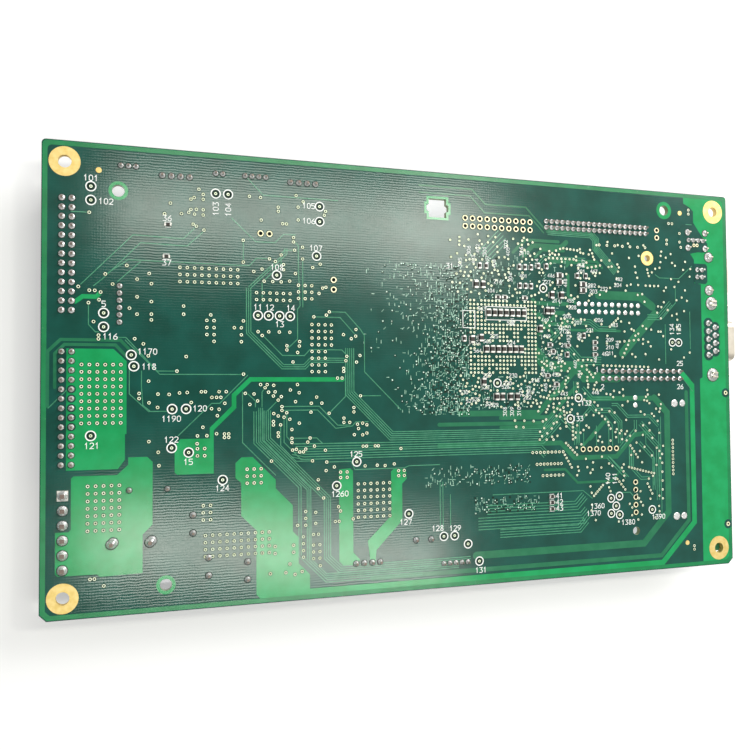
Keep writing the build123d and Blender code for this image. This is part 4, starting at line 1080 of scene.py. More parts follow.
# %% Single routes
ROUTES = [
    [(-89.4, 3), (-89.4, -4.3), (-84.3, -9.2), (-79.5, -9.2)],
    [(-86.2, 2), (-86.2, -2.5), (-85.8, -7.5), (-84, -9)],
    [(-92.5, 11.2), (-90.3, 11.2), (-82, 2), (-76.7, 2)], [(-90.5, 10.5), (-81.3, 1.1), (-58.3, 1.1)],
    [(-76.3, -16), (-67.2, -7.1), (-64.9, -7.1), (-57, 0.9)],
    [(-102, 25.5), (-88.5, 39.7), (-75, 39.3), (-71.6, 42.8)],
    [(-98.7, 25.2), (-96.2, 27.4), (-86.5, 37.6), (-74, 37.3), (-69.5, 41.6)],
    [(-95.5, 28.5), (-89.8, 32.7), (-56.5, 32.5), (-54.4, 34.8), (-50.9, 34.8)],
    [(-92.5, 26.6), (-86.5, 32.3)], [(-58.2, 39.8), (-58.2, 33.5)],
    [(-57.6, 58.6), (-52.4, 53.3), (-30, 53.3)],
    [(-61.5, 46), (-54.6, 39.6), (-49, 39.6), (-46.4, 42.2), (-43, 42.2)],
    [(-43.2, 37.7), (-46.2, 37.5), (-47.2, 36.5), (-47.2, 33.4), (-52.8, 27.8), (-52.8, 22)],
    [(-43, 40), (-42.1, 39), (-42.1, 32), (-41.6, 21.4), (-42.4, 20.3), (-42.4, 11.5), (-45.6, 8.5)],
    [(-40.8, 35), (-40.8, 21)],
    [(-52.8, 12.6), (-46.9, 6.7), (-40.4, 6.7), (-38.7, 8.5), (-29, 8.5), (-27.2, 6.7), (-27.2, 3)],
    [(-37.5, 18.2), (-29.5, 18.2), (-24.9, 13.2)],
    [(-32.8, 19.8), (-27.9, 19.8), (-23.4, 15), (-22, 13), (-22, 2), (-10.5, -9.5)],
    [(-100, 20.4), (-100, 14.6), (-98.2, 12.6), (-97.4, 12.6)], [(-99.9, 45.2), (-104.5, 45.2)],
    [(-104.2, -2), (-110, -8)], [(-58.5, -3.9), (-58.5, -18.4), (-52.6, -24.4), (-49, -28)],
    [(-57.7, -4.3), (-56.8, -4.6), (-54.8, -6.5), (-54.8, -8.2)], [(-52, -2.5), (-52.9, -4), (-52.9, -8.2)],
    [(-48.2, -6.3), (-51.3, -9.4)], [(-47.1, -8.2), (-36, -8.2), (-30.4, -13.9), (-26.7, -13.9)],
    [(-47.1, -9.3), (-36.5, -9.3), (-31, -14.8), (-25.9, -14.2), (-24.8, -13), (-21, -13)],
    [(-33, -10.3), (-28, -5.4), (-28, 1)], [(-23.3, -5.2), (-17, -5.2)],
    [(-45.7, -10), (-45.7, -17), (-43.8, -19.1), (-38.6, -19.1)],
    [(-46.5, -11.3), (-46.5, -18.6), (-41.5, -23.7), (-36.5, -23.7)],
    [(-47.5, -13.5), (-47.5, -19.5), (-43, -24.2), (-38.1, -24.2)],
    [(-44.2, -17.5), (-36.8, -17.5), (-35, -19.2), (-20, -19.2)],
    [(-33.8, -24.7), (-26.3, -24.7), (-25.2, -27.2), (-9.5, -27.2), (-8, -26.6), (2, -26.6)],
    [(92.2, 51), (95, 53.7), (97.2, 53.7), (101.5, 48.7)], [(92.6, 45.9), (94.5, 48.3)],
    [(2.1, -32), (2.1, -47)], [(3, -32), (3, -47)], [(5.5, -36), (5.5, -46)],
    [(82, 35.6), (83.6, 34.6), (91.5, 34.6), (97, 39.2)], [(90, 31.5), (90, 26.2), (84.5, 20.6)],
    [(95.8, 23.2), (95.8, 10.4)], [(85.6, 18.6), (85.6, 5.2)], [(47.8, -0.8), (43.6, -5.4), (40, -5.4)],
    [(53, -22.2), (53, -18)], [(57.9, -22.2), (57.9, -15.6)], [(62.6, -22.2), (62.6, -16), (61, -13)],
    [(64, -22.2), (64, -15.4), (61.4, -12.4)], [(20, -36.7), (52.5, -36.7), (56, -39.4)],
    [(83, -13), (83, -47)], [(82.2, -17), (82.2, -38)], [(70.4, -22.4), (70.4, -29.4)],
    [(71.2, -23.4), (71.2, -29.4)], [(72, -24.4), (72, -29.4)],
    [(77, -18.8), (77, -22), (80, -25), (80, -36)], [(62.8, -26), (70, -32.8)], [(90.2, 2.6), (96.3, -4.2)],
    [(64.8, -38), (70.5, -38), (72.4, -40)],
]
SINGLE_WIDTH = 0.26
fine_tracks = Relief()
for line in ROUTES:
    fine_tracks.track(line, SINGLE_WIDTH, SUNK, TRACK)
print("single routes:", len(ROUTES))

# %% Bundles across the board
BUNDLES = [
    (3, 0.62, [(-56.7, 26), (-56.7, 13.2), (-46.8, 3.4), (-40.4, 3.4), (-38.4, 5.4), (-28.2, 5.4)]),
    (2, 0.62, [(-45.8, 38), (-45.8, 36.6), (-56.4, 26.2)]),
    (5, 0.62, [(-26.6, 9), (-26.6, -4.4), (-13.6, -17.4), (38, -17.4), (43, -12.4)]),
    (2, 0.7, [(-54.9, -9.6), (-54.9, -18.6), (-41.9, -31.7), (-41.9, -51.6), (-34, -59.5), (-4, -59.5)]),
    (3, 0.55, [(-53.3, -8.6), (-53.3, -18.2), (-39.2, -32.4), (-39.2, -53), (-34.2, -58), (8, -58)]),
    (4, 0.62, [(-51.4, -9.4), (-51.4, -17.6), (-33.7, -35.4), (-33.7, -52.6), (-29.8, -56.4), (12, -56.4)]),
    (4, 0.75, [(-44, -21.8), (-40.5, -22.6), (-8, -22.6), (37, -22.6), (39, -24.6)]),
    (3, 0.75, [(-43, -19.9), (-20, -20.1), (38, -20.1), (44, -14.1)]),
    (5, 1.15, [(17.6, 38.8), (24.6, 45.8)]), (5, 0.9, [(15, -45.6), (52.2, -45.6), (54.4, -43.4)]),
    (4, 0.9, [(18, -41.4), (50, -41.4), (53, -38.4)]), (3, 0.8, [(44, -11.4), (50.4, -17.8), (50.4, -21.6)]),
    (4, 0.8, [(60, 5.9), (52, 5.9), (47.6, 10.3)]),
    (3, 0.75, [(41.4, 12.6), (47.6, 18.8), (56, 18.8), (59.4, 16.6), (66, 16.6)]),
    (3, 0.8, [(88, 26), (83, 21), (78.6, 21)]),
    (2, 0.7, [(64, -8.6), (66, -8.6), (70, -12.6), (78.6, -12.6), (82, -16)]),
    (5, 0.55, [(40.8, 48.2), (57, 48), (58.7, 46.3), (58.7, 43.5), (66.3, 35.8)]),
    (2, 0.8, [(37.5, 37.5), (39.5, 39.5), (54.5, 39.5)]), (3, 0.9, [(50.5, -1), (50.5, -5.5)]),
    (2, 0.8, [(53, -3), (56.5, -6.5), (63.5, -6.5)]),
    (3, 0.7, [(54.5, -7.5), (57.5, -10.5), (63, -10.5), (67, -14.5), (67, -21.5)]),
    (2, 0.8, [(55.5, -10), (51, -14.5), (51, -21)]), (2, 0.9, [(73, -14), (73, -17), (67, -23)]),
    (3, 0.8, [(78, -19), (82, -23), (82, -41)]), (2, 0.8, [(74.5, -21.5), (80, -27), (80, -37.5)]),
    (4, 0.8, [(22.5, -49), (51, -49), (53.5, -46.5)]),
    (2, 0.8, [(71, -23), (71, -29.5), (75, -33.5), (78.5, -33.5)]), (2, 0.8, [(62, -26), (69, -33)]),
    (3, 0.8, [(75, -15), (80, -20)]),
]
BUNDLE_WIDTH = 0.28
for count, pitch, line in BUNDLES:
    bundle(fine_tracks, count, pitch, line, BUNDLE_WIDTH, SUNK, TRACK)
fine_tracks.make("fine_tracks", "track_lacquer")

# %% [markdown]
# Vias stand wherever a track changes layer. On the left they are few and are placed one by one. On the
# right, under the processor, they crowd together: there a seeded scatter fills the zones, and keeps
# clear of everything that is already on the board.

# %% Single vias
VIAS = [
    (-70.7, 53.7), (-72, 51.2), (-72.9, 50.7), (-69.5, 52.3), (-69.5, 50.9), (-78.5, 49.2), (-72.9, 47.8),
    (-71.4, 47.9), (-73.5, 46.9), (-75.5, 46.4), (-71.9, 46.5), (-69.5, 47.9), (-69.5, 46.4), (-72.3, 43.6),
    (-71.4, 43.1), (-69.3, 42.1), (-80.1, 46.1), (-56.4, 52.7), (-53.2, 52.6), (-48, 50.1), (-48, 48.9),
    (-42.7, 53.9), (-42.1, 50.5), (-40.6, 52.2), (-42.1, 46.7), (-46.7, 45.3), (-45.6, 45.3), (-53, 46),
    (-33.8, 49.8), (-34.2, 48.6), (-58.2, 39.8), (-58.2, 33.5), (-43.5, 41.4), (-43.5, 40.1), (-40.8, 38.7),
    (-43.2, 37.7), (-40.8, 35.2), (-47.2, 36.1), (-50.6, 34.8), (-48.9, 34.1), (-46.5, 33.3), (-46.5, 31.8),
    (-52.8, 31.7), (-55.2, 30.9), (-43, 30.8), (-52.2, 28.2), (-49.7, 28.2), (-47.2, 28.2), (-44.7, 28.5),
    (-35.5, 33.9), (-37.8, 32.8), (-34.8, 26.8), (-33.8, 27.1), (-35.9, 25.2), (-84.2, 29.1), (-83.6, 26.3),
    (-90.1, 31.1), (-95.7, 28.5), (-93.8, 25.8), (-87.4, 27.4), (-87.4, 22.5), (-83.6, 21.3), (-89.4, 19.3),
    (-87.4, 17.7), (-83.6, 17.8), (-83.6, 16.2), (-74.9, 20.3), (-74.9, 18), (-67.4, 18), (-60.8, 14.5),
    (-58.2, 16.5), (-58.8, 14.5), (-58.8, 12.5), (-58.8, 10.5), (-66.5, 10.5), (-54, 13.5), (-50.9, 13.5),
    (-52.8, 12.4), (-47.8, 13.5), (-44.7, 13.5), (-41.8, 10.8), (-41.9, 9.5), (-45.6, 9.5), (-45.6, 8.3),
    (-42.4, 7.6), (-43.8, 4.8), (-74.2, 6.1), (-84.4, 6.2), (-88, 10.9), (-85.7, 9.5), (-97.4, 11.7),
    (-97.4, 10.7), (-98.7, 15.4), (-100, 20.5), (-97.3, 21.4), (-98.4, 23.9), (-99.8, 23.9), (-102.6, 24.8),
    (-96.9, 23.5), (-99.9, 45.2), (-37.5, 18.2), (-33.7, 18.8), (-32.8, 19.8), (-28.5, 13.1), (-26.1, 11.9),
    (-24.7, 12.7), (-24.6, 14.7), (-23.4, 6.9), (-27.5, 6.6), (-27.8, 5.3), (-24.5, 4.9), (-28.5, 3),
    (-28.5, 2.1), (-76.7, 2), (-58.2, 1.2), (-84.3, -0.8), (-86.8, -4.2), (-86.8, -5.6), (-81.8, -4.4),
    (-78.8, -4.5), (-84.2, -6.8), (-81.9, -8.1), (-76, -4.1), (-73.9, -4), (-72.8, -6.8), (-70, -3.8),
    (-68.9, -3.8), (-65.1, -3.8), (-63.1, -3.8), (-67.1, -5.4), (-65.8, -5.4), (-64.6, -5.4), (-63.5, -7.1),
    (-67.2, -8.6), (-65.1, -8.8), (-65.6, -10.6), (-69.6, -13.8), (-65.8, -15.7), (-63.6, -15.8),
    (-62.4, -15.8), (-63.6, -16.8), (-62.4, -16.8), (-71.1, -16.2), (-68.5, -16.2), (-71.2, -18.4),
    (-71.1, -19.8), (-69.1, -19.8), (-71.1, -21.8), (-69.1, -21.8), (-84.2, -17.5), (-81.7, -20.5),
    (-81.5, -24.2), (-79.3, -30.6), (-53.3, -1.8), (-51.4, -1.8), (-52, -2.7), (-49.5, -2), (-57.7, -4.3),
    (-55.2, -4.5), (-51, -4), (-49.1, -3.9), (-49.6, -5.1), (-54.2, -6.5), (-56.4, -7.5), (-48.2, -6.3),
    (-47.3, -5.3), (-42.5, -1.8), (-44.6, -3.4), (-42, -4.2), (-43.1, -6.8), (-36.8, -5.5), (-38.4, -7.3),
    (-35.2, -7.3), (-47.1, -8.2), (-47.1, -9.3), (-45.7, -10), (-49.5, -10.2), (-48.2, -10.9), (-46.5, -11.3),
    (-49.6, -12.5), (-49.6, -13.5), (-47.5, -13.5), (-44.8, -11.9), (-42, -13.1), (-44.2, -14.9),
    (-48.2, -15.8), (-48.2, -16.8), (-44.2, -17.5), (-44.2, -18.7), (-38.8, -17.5), (-39.5, -18.7),
    (-37.5, -19.9), (-44, -20.9), (-42.9, -20.7), (-41.9, -21.5), (-40.8, -21.5), (-40.1, -20.7),
    (-34.2, -21.2), (-38.5, -9.9), (-33, -10.3), (-25.4, -8.7), (-25.4, -10), (-28.5, -11.8), (-28.5, -13.1),
    (-26.7, -13.1), (-24.3, -13.7), (-22.7, -13.4), (-21.4, -13.9), (-24, -15), (-25.3, -16.8),
    (-22.7, -16.9), (-21.4, -16.4), (-22.6, -20.3), (-21.5, -20.3), (-18.8, -20.3), (-17.8, -20.3),
    (-10.6, -21.3), (-23.3, -5.2), (-38.1, -24.2), (-33.8, -24.7), (-34, -27.2), (-31.5, -26.2), (-22, -26.2),
    (-18.2, -26.1), (-15.7, -26.3), (-12.8, -25.9), (-50.2, -23.9), (-36.4, -29.8), (-36.4, -32.4),
    (-34.8, -35.2), (-37.2, -39.3), (-40.2, -38.9), (-40.2, -40.9), (-40.2, -42.9), (-37.2, -42.5),
    (-42.6, -42.8), (-40.9, -46.2), (-40.9, -48.2), (-40.9, -50.2), (-40.9, -52.1), (-37.9, -45.7),
    (-36.4, -45.7), (-37.9, -48.8), (-36, -48.8), (-37.9, -50.8), (-36, -50.8), (-37.9, -52.7), (-36, -52.7),
    (-35.9, -54.9), (-44.9, -53.8), (-46.1, -56.2), (-50.6, -56.2), (-43.4, -56.9), (-41.3, -56.2),
    (-31.3, -42.3), (-30.1, -42.3), (-25.8, -41.8), (-30.3, -38), (-29.7, -39.3), (-43.8, -48.5),
    (-43.8, -50.5), (-49.2, -48.5), (-49.2, -50.5), (-99.3, -54.1), (-98.2, -54.1), (-95.8, -56.1),
    (-29.6, -27.8), (-27.6, -27.8), (-29.6, -29.4), (-27.6, -29.4), (-11.4, -28), (-9.6, -28), (-11.4, -29.5),
    (-9.6, -29.5), (-30.4, 0.1), (-29, 0.1), (96, 58.8), (96, 57.4), (95.9, -57.4), (95.9, -58.6),
    (87.7, 53.6), (89.1, 53.6), (92.1, 50.4), (92.1, 47.4), (92.6, 45.6), (86.8, 47.8), (86.8, 46.4),
]
for x, y in VIAS:
    via(x, y)
print("vias so far:", len(taken))

# %% Strings of vias
STRINGS = [
    (45.3, -23.8, 48.4, -29, 6), (46.4, -21, 50.4, -24.9, 6), (49, -14.6, 49, -19.8, 5),
    (40.8, -6.6, 50.2, -6.2, 8), (45.6, -9.4, 46.6, -15.6, 6), (70.9, -22.4, 73.7, -26.4, 5),
    (70.2, -29.6, 79, -31.8, 9), (56.6, -38.6, 60, -35.2, 6), (65.6, -33.4, 68.6, -37, 5),
    (83.4, -25.6, 83.4, -40.6, 6), (57.8, -10.4, 62.4, -14.4, 5), (41, 39.4, 50.2, 39.4, 7),
    (46.4, 42.9, 51.6, 42.4, 5), (78, 31.7, 81.4, 31.7, 3), (60.8, 4.4, 78.4, 4, 12),
    (67.4, 12.4, 76.6, 13.4, 6), (68.4, 7.2, 70.6, 11.4, 4), (63.6, 17.4, 66.8, 20.2, 5),
    (55.4, 36.8, 60.2, 37.8, 4), (77.4, -35.4, 79.2, -38.8, 4), (72.4, -37.8, 75.4, -42.6, 5),
    (28, -13.4, 38, -13.8, 4), (28.4, -15.4, 31, -15.6, 2), (36.8, -19.7, 41.8, -19.8, 3),
]
for x0, y0, x1, y1, count in STRINGS:
    for i in range(count):
        share = i / max(1, count - 1)
        via(x0 + (x1 - x0) * share, y0 + (y1 - y0) * share, *STRING_VIA)
print("vias so far:", len(taken))

# %% [markdown]
# The processor's balls are on the other side. Beside each one a via leads its signal away, so the field
# of vias shows the ball grid. A full grid would look ruled, so a seeded draw leaves places out, more of
# them in the middle, and the result is the same every time. First the small chip parts are found in the
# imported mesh, because no via may stand under them.

# %% Boxes round the separate solids of a node
def loose_parts(node_name):
    """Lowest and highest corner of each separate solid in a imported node."""
    mesh = frame["nodes"][node_name].data
    first_at = {}
    owner = [first_at.setdefault(tuple(round(c / MM, 2) for c in v.co), v.index) for v in mesh.vertices]

    def root(i):
        while owner[i] != i:
            owner[i] = owner[owner[i]]
            i = owner[i]
        return i

    for edge in mesh.edges:
        a, b = (root(i) for i in edge.vertices)
        owner[a] = b
    groups = {}
    for vertex in mesh.vertices:
        groups.setdefault(root(vertex.index), []).append(vertex.co / MM)
    return [
        (Vector([min(p[k] for p in g) for k in range(3)]), Vector([max(p[k] for p in g) for k in range(3)]))
        for g in groups.values()
    ]


chip_boxes = loose_parts("solder_side_chips")
print("small parts on this side:", len(chip_boxes))

# %% Escape field of the processor
SEED = 7
BALL_PITCH = 1.27
BALL_ROWS = 19
FIELD_X, FIELD_Y = 12.9, 1.9
FULL_SHARE = 0.95
THIN_SHARE = 0.4
chance = random.Random(SEED)


def on_chip(x, y, margin=0.75):
    return any(
        low.x - margin < x < high.x + margin and low.y - margin < y < high.y + margin for low, high in chip_boxes
    )


for i in range(BALL_ROWS):
    for j in range(BALL_ROWS):
        x, y = FIELD_X + i * BALL_PITCH, FIELD_Y + j * BALL_PITCH
        upper = j > 10 and (i < 4 or j > 16 or i > 14 or j in (11, 12))
        lower = j < 5 and (i < 4 or i > 14 or j in (2, 3, 4))
        share = FULL_SHARE if upper or lower or i > 15 else THIN_SHARE
        if not on_chip(x, y, 0.55) and chance.random() < share:
            via(x, y, *FINE_VIA)
print("vias so far:", len(taken))

# %% [markdown]
# Single vias also stand wherever a track changes sides. Some were placed above, and the rest are many
# and without a pattern. Each zone gets a count of them, and a draw skips every place that is taken by a
# joint, a hole or a chip part.

# %% Seeded scatter
taken += [(x, y, 1.5) for places in WIRES.values() for x, y in places]
taken += [(x, y, 2.1) for x, y in TEST_POINTS]
taken += [(x, y, 1.5) for x, y in PLUGS]
taken += [(x, y, 1.4) for x, y in EMPTY_HOLES]
taken += [(78.75, 41.1, 3.3), (85.9, 58.0, 4.0), (72.8, -51.0, 2.5), (73.1, -7.6, 2.6), (90.4, -8.4, 3.4)]
ZONES = [
    (36.5, -9, 58.5, 43, 170), (58.5, 6, 97, 46.5, 100), (50, -33, 84, -3.5, 95), (6, 26.5, 36, 46, 90),
    (36, -20, 52, -4, 30), (54, -48, 84.5, -33, 22), (9, -9, 36, 1.5, 60),
]


def is_free(x, y):
    return not on_chip(x, y) and all((x - a) ** 2 + (y - b) ** 2 > r * r for a, b, r in taken)


def scatter(x0, y0, x1, y1, count):
    """Draws places in a zone until count vias stand, or three times count draws are used up."""
    for _ in range(count * 3):
        x, y = chance.uniform(x0, x1), chance.uniform(y0, y1)
        if count and is_free(x, y):
            via(x, y, *FINE_VIA)
            count -= 1


for zone in ZONES:
    scatter(*zone)
print("places taken:", len(taken))

# %% [markdown]
# Part numbers are squeezed in wherever the board leaves room, some flat and some upright. Setting each
# by hand would add nothing that can be read, so they are drawn the same way and count up.

# %% More small numbers
LABEL_ZONES = [
    (14, 27, 36, 44, 10), (37, -8, 58, 40, 30), (58, 8, 68, 34, 6), (9, -9, 36, 1, 10), (14, 4, 34, 24, 5),
]
FIRST_LABEL = 401
LABEL_STEP = 40
UPRIGHT_SHARE = 0.4
ROUND_WIDE_SPOT = 2.2


def scatter_numbers(first, x0, y0, x1, y1, count):
    """Numbers that count up from first, flat or upright, at drawn places beside the chip parts."""
    wide_spots = [(a, b) for a, b, r in taken if r > CLEAR_OF_VIA]
    for i in range(count):
        x, y = chance.uniform(x0, x1), chance.uniform(y0, y1)
        if not on_chip(x, y, 0.6) and all(math.hypot(x - a, y - b) > ROUND_WIDE_SPOT for a, b in wide_spots):
            number(x, y, str(first + i), height=1.05, upright=chance.random() < UPRIGHT_SHARE, pen=0.13)


for i, zone in enumerate(LABEL_ZONES):
    scatter_numbers(FIRST_LABEL + LABEL_STEP * i, *zone)
legend.make("white_legend", "legend_ink")

# %% [markdown]
# Between the memory chips and the processor the tracks are so dense that the eye sees only a glitter of short
# copper ends and tiny vias. Following each one would take thousands of corners and look no truer. A loose grid
# with a seeded draw gives the same texture, and each zone says how dense it is at its left and at its right. The
# near-white tones of the specks and stubs are painted glints; their green is the lacquered copper.

# %% Glitter of the memory bus
GLITTER_PITCH = 0.74
DENSE_SHARE = 0.4
STUB_WIDTH = 0.19
SPECKS, GAPS, UPRIGHT_STUBS, FLAT_STUBS = 0.24, 0.46, 0.78, 0.9
# Each zone gives its corners, its share of filled places at the left and right, and its own pitch if any.
GLITTER_ZONES = [
    (-22, 8, -6, 36, 0.02, 0.22), (-6, -11, 12.5, 13, 0.22, 0.95, 0.62), (-6, 13, 12.5, 36, 0.2, 0.88),
    (-16, -10, -6, 8, 0.03, 0.3), (12.5, 25.8, 35, 40, 0.5, 0.35), (12.5, -9, 38, 1, 0.7, 0.5),
    (36.5, -2, 47.5, 41, 0.35, 0.2), (-4, -33, 34, -27, 0.2, 0.6), (14, -42, 37, -37, 0.5, 0.4),
]
short_tracks = Relief()
glint_specks = Relief()


def stub(x, y, dx, dy):
    short_tracks.track([(x - dx, y - dy), (x + dx, y + dy)], STUB_WIDTH, SUNK, TRACK)


def glitter(x0, y0, x1, y1, left, right, pitch=GLITTER_PITCH):
    """Stubs, specks and gaps on a loose grid; the share of filled places runs from left to right."""
    columns = round((x1 - x0) / pitch)
    rows = round((y1 - y0) / pitch)
    for i in range(columns):
        share = left + (right - left) * i / columns
        for j in range(rows):
            x = x0 + i * pitch + chance.uniform(-0.2, 0.2)
            y = y0 + j * pitch + chance.uniform(-0.25, 0.25)
            draw, form = chance.random(), chance.random()
            if draw > share or not is_free(x, y):
                continue
            if form < SPECKS:
                # Painted shadow: a dark disc set off to one side of the speck.
                mask_gaps_and_shade.disc(x + 0.1, y - 0.1, 0.42, SUNK, GAP, 6)
                # Painted glint: a near-white speck.
                glint_specks.disc(x, y, chance.uniform(0.15, 0.27), SUNK, PAD, 6)
            elif form < GAPS:
                if share > DENSE_SHARE:
                    mask_gaps_and_shade.disc(x, y, chance.uniform(0.25, 0.42), SUNK, GAP, 6)
            elif form < UPRIGHT_STUBS:
                stub(x, y, 0, chance.uniform(0.25, 0.7))
            elif form < FLAT_STUBS:
                stub(x, y, 0.4, 0)
            else:
                stub(x, y, 0.3, 0.3)


for zone in GLITTER_ZONES:
    glitter(*zone)
glint_specks.make("glint_specks", "speck_glint_lacquer")
short_tracks.make("short_tracks", "stub_lacquer_and_glint")
mask_gaps_and_shade.make("mask_gaps_and_shade", "bare_resin_and_shade")
via_rings.make("via_rings", "flash_gold")
hole_rings.make("hole_rings", "hole_gold")
hole_shade_discs.make("hole_shade_discs", "hole_shadow")

# %% [markdown]
# The small chip parts on this side have tinned ends. A brown ceramic body between two bright ends is a
# capacitor, and a black one is a resistor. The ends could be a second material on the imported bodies,
# but real ends wrap the body and spread into solder, so each is a slab a hair larger than the body.
# White lines beside the parts show where they belong.

# %% Ends and outlines of chip parts
END_SHARE = 0.17
END_FILLET = 0.18
END_SKIN = 0.02
MARK_WIDTH = 0.15
MARK_BEFORE, MARK_AFTER = 0.42, 0.2
chip_ends = Relief()
chip_marks = Relief()


def slab_across(relief, upright, along, across, low, high):
    """A box from its span along a part and its span across it."""
    (x0, x1), (y0, y1) = (across, along) if upright else (along, across)
    relief.box(x0, y0, x1, y1, low, high)


for low, high in chip_boxes:
    upright = high.y - low.y > high.x - low.x
    start, end, left, right = (low.y, high.y, low.x, high.x) if upright else (low.x, high.x, low.y, high.y)
    reach = END_SHARE * (end - start)
    for along in ((start - END_FILLET, start + reach), (end - reach, end + END_FILLET)):
        slab_across(chip_ends, upright, along, (left - END_SKIN, right + END_SKIN), SUNK, high.z + END_SKIN)
    for mark in (left - MARK_BEFORE, right + MARK_AFTER):
        slab_across(chip_marks, upright, (start, end), (mark, mark + MARK_WIDTH), SUNK, LEGEND)
chip_ends.make("chip_part_ends", "chip_tin")
chip_marks.make("chip_part_outlines", "legend_ink")

# %% [markdown]
# ## The component side
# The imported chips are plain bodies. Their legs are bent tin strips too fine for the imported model, so
# they are added here: each leaves its body at half height, bends to the board and lies flat on a pad.
# One leg could be copied by an array, but the chips differ in pitch and in which sides carry legs, so a
# function reads each chip's box and lays the legs along it.

# %% Gull-wing legs
LEG_THICK = 0.15
LEG_SHARE = 0.4
LEG_ROOT = -0.15
FINE_PITCH = 1.0
FINE_REACH, COARSE_REACH = 0.9, 1.3
chip_legs = Relief(under=True)
leg_pads = Relief(under=True)


def leg(x, y, out, width, level, reach):
    """One leg that starts at x, y and runs along the unit vector out; level is its height at the body."""
    u = Vector(out)
    v = Vector((-u.y, u.x)) * width / 2
    rise = level - LEG_THICK
    profile = [
        (LEG_ROOT, level), (0.42 * reach, level), (0.6 * reach, LEG_THICK), (reach, LEG_THICK),
        (reach, 0.0), (0.52 * reach, 0.0), (0.34 * reach, rise), (LEG_ROOT, rise),
    ]
    chip_legs.loops(
        [[(x + u.x * d + v.x * s, y + u.y * d + v.y * s, h) for d, h in profile] for s in (1, -1)], closed=False
    )
    foot = Vector((x, y)) + u * reach * 0.8
    a, b = u * 0.45, v * 1.25
    corners = [foot - a - b, foot + a - b, foot + a + b, foot - a + b]
    leg_pads.prism([tuple(c) for c in corners], UNDER_SUNK, PAD_THICK)


def legs_along(x, y, along, out, length, pitch, width, level, reach):
    count = int((length - pitch) / pitch) + 1
    for i in range(count):
        shift = (i - (count - 1) / 2) * pitch
        leg(x + along[0] * shift, y + along[1] * shift, out, width, level, reach)

# %% Legs on every chip
# Pitch of the legs, and the sides that carry them; None stands for the two long sides.
CHIP_LEGS = {
    "logic_chips": (1.27, None), "motor_drivers": (1.27, None), "memory_chips": (0.8, None),
    "flash_chip": (0.65, "x"), "gate_array": (0.65, "xy"), "interface_controller": (0.65, "xy"),
}


def dress_chip(low, high, pitch, sides):
    """Legs on the named sides of a chip's bounding box."""
    middle_x, middle_y = (low.x + high.x) / 2, (low.y + high.y) / 2
    span_x, span_y = high.x - low.x, high.y - low.y
    sides = sides or ("x" if span_y > span_x else "y")
    size = (pitch, pitch * LEG_SHARE, (high.z - low.z) / 2 + LEG_THICK / 2)
    size += (FINE_REACH if pitch < FINE_PITCH else COARSE_REACH,)
    for sign, x, y in ((-1, low.x, low.y), (1, high.x, high.y)):
        if "x" in sides:
            legs_along(x, middle_y, (0, 1), (sign, 0), span_y, *size)
        if "y" in sides:
            legs_along(middle_x, y, (1, 0), (0, sign), span_x, *size)


for name, (pitch, sides) in CHIP_LEGS.items():
    for low, high in loose_parts(name):
        dress_chip(low, high, pitch, sides)
chip_legs.make("chip_legs", "tinned_wire")

# %% [markdown]
# A dot marks pin one of each chip, so that nobody solders it the wrong way round. Moulded dimples are
# hard to see in a black body, so the dots are printed ink, set into the corner of the chip's box.

# %% Pin-one dots
DOT_R = 0.45
DOT_INSET, PROCESSOR_INSET = 1.3, 2.6
DOTTED = ("logic_chips", "memory_chips", "flash_chip", "gate_array", "interface_controller", "processor")
dots = Relief(under=True)
for name in DOTTED:
    for low, high in loose_parts(name):
        height = high.z - low.z
        inset = PROCESSOR_INSET if name == "processor" else DOT_INSET
        dots.disc(low.x + inset, high.y - inset, DOT_R, height - 0.02, height + 0.015)
dots.make("pin_one_dots", "dot_ink")

# %% [markdown]
# Rows of chip capacitors and resistors fill the ground between the big chips. They are all one size, so
# a row is a start, a count and a direction, and the parts stand crosswise to their row.

# %% Small parts between the chips
SMALL_PARTS = [
    (8, 30, 5, "y"), (8, 18, 5, "y"), (43, 34, 4, "x"), (13, 44, 6, "x"), (36, -2, 4, "x"), (56, 4, 3, "x"),
    (66, 22, 5, "y"), (72, -12, 5, "x"), (70, -26, 5, "y"), (88, -26, 5, "y"), (-22, 15, 5, "y"),
    (-46, 15, 4, "y"), (-34, -26, 4, "y"), (-6, -30, 5, "x"), (10, -36, 6, "x"), (30, -40, 6, "x"),
    (-80, 25, 4, "x"), (-72, 14, 5, "x"), (-84, -14, 5, "x"), (-30, 42, 6, "x"), (-8, 46, 5, "x"),
    (84, 24, 4, "y"), (40, -30, 5, "y"), (-60, -16, 4, "x"),
]
SMALL_PITCH = 2.2
HALF_WIDE, HALF_LONG = 0.4, 0.8
SMALL_HIGH = 0.55
small_bodies = Relief(under=True)
small_ends = Relief(under=True)
for x, y, count, direction in SMALL_PARTS:
    upright = direction == "x"
    for i in range(count):
        px = x + (i * SMALL_PITCH if upright else 0)
        py = y + (0 if upright else i * SMALL_PITCH)
        centre, side_centre = (py, px) if upright else (px, py)
        body = (side_centre - HALF_WIDE, side_centre + HALF_WIDE)
        slab_across(small_bodies, upright, (centre - HALF_LONG, centre + HALF_LONG), body, 0.0, SMALL_HIGH)
        for side in (-1, 1):
            span = sorted((centre + side * HALF_LONG * 0.6, centre + side * (HALF_LONG + 0.15)))
            slab_across(small_ends, upright, span, (body[0] - END_SKIN, body[1] + END_SKIN), 0.0, 0.57)
small_bodies.make("small_part_bodies", "chip_ceramic")
small_ends.make("small_part_ends", "tinned_wire")

# %% [markdown]
# This side has its own copper, rings and legend. They use the same class as the other side, turned
# over: heights then grow down from the component face. The pours of the heavy currents show on both
# sides, so their outlines are used again.

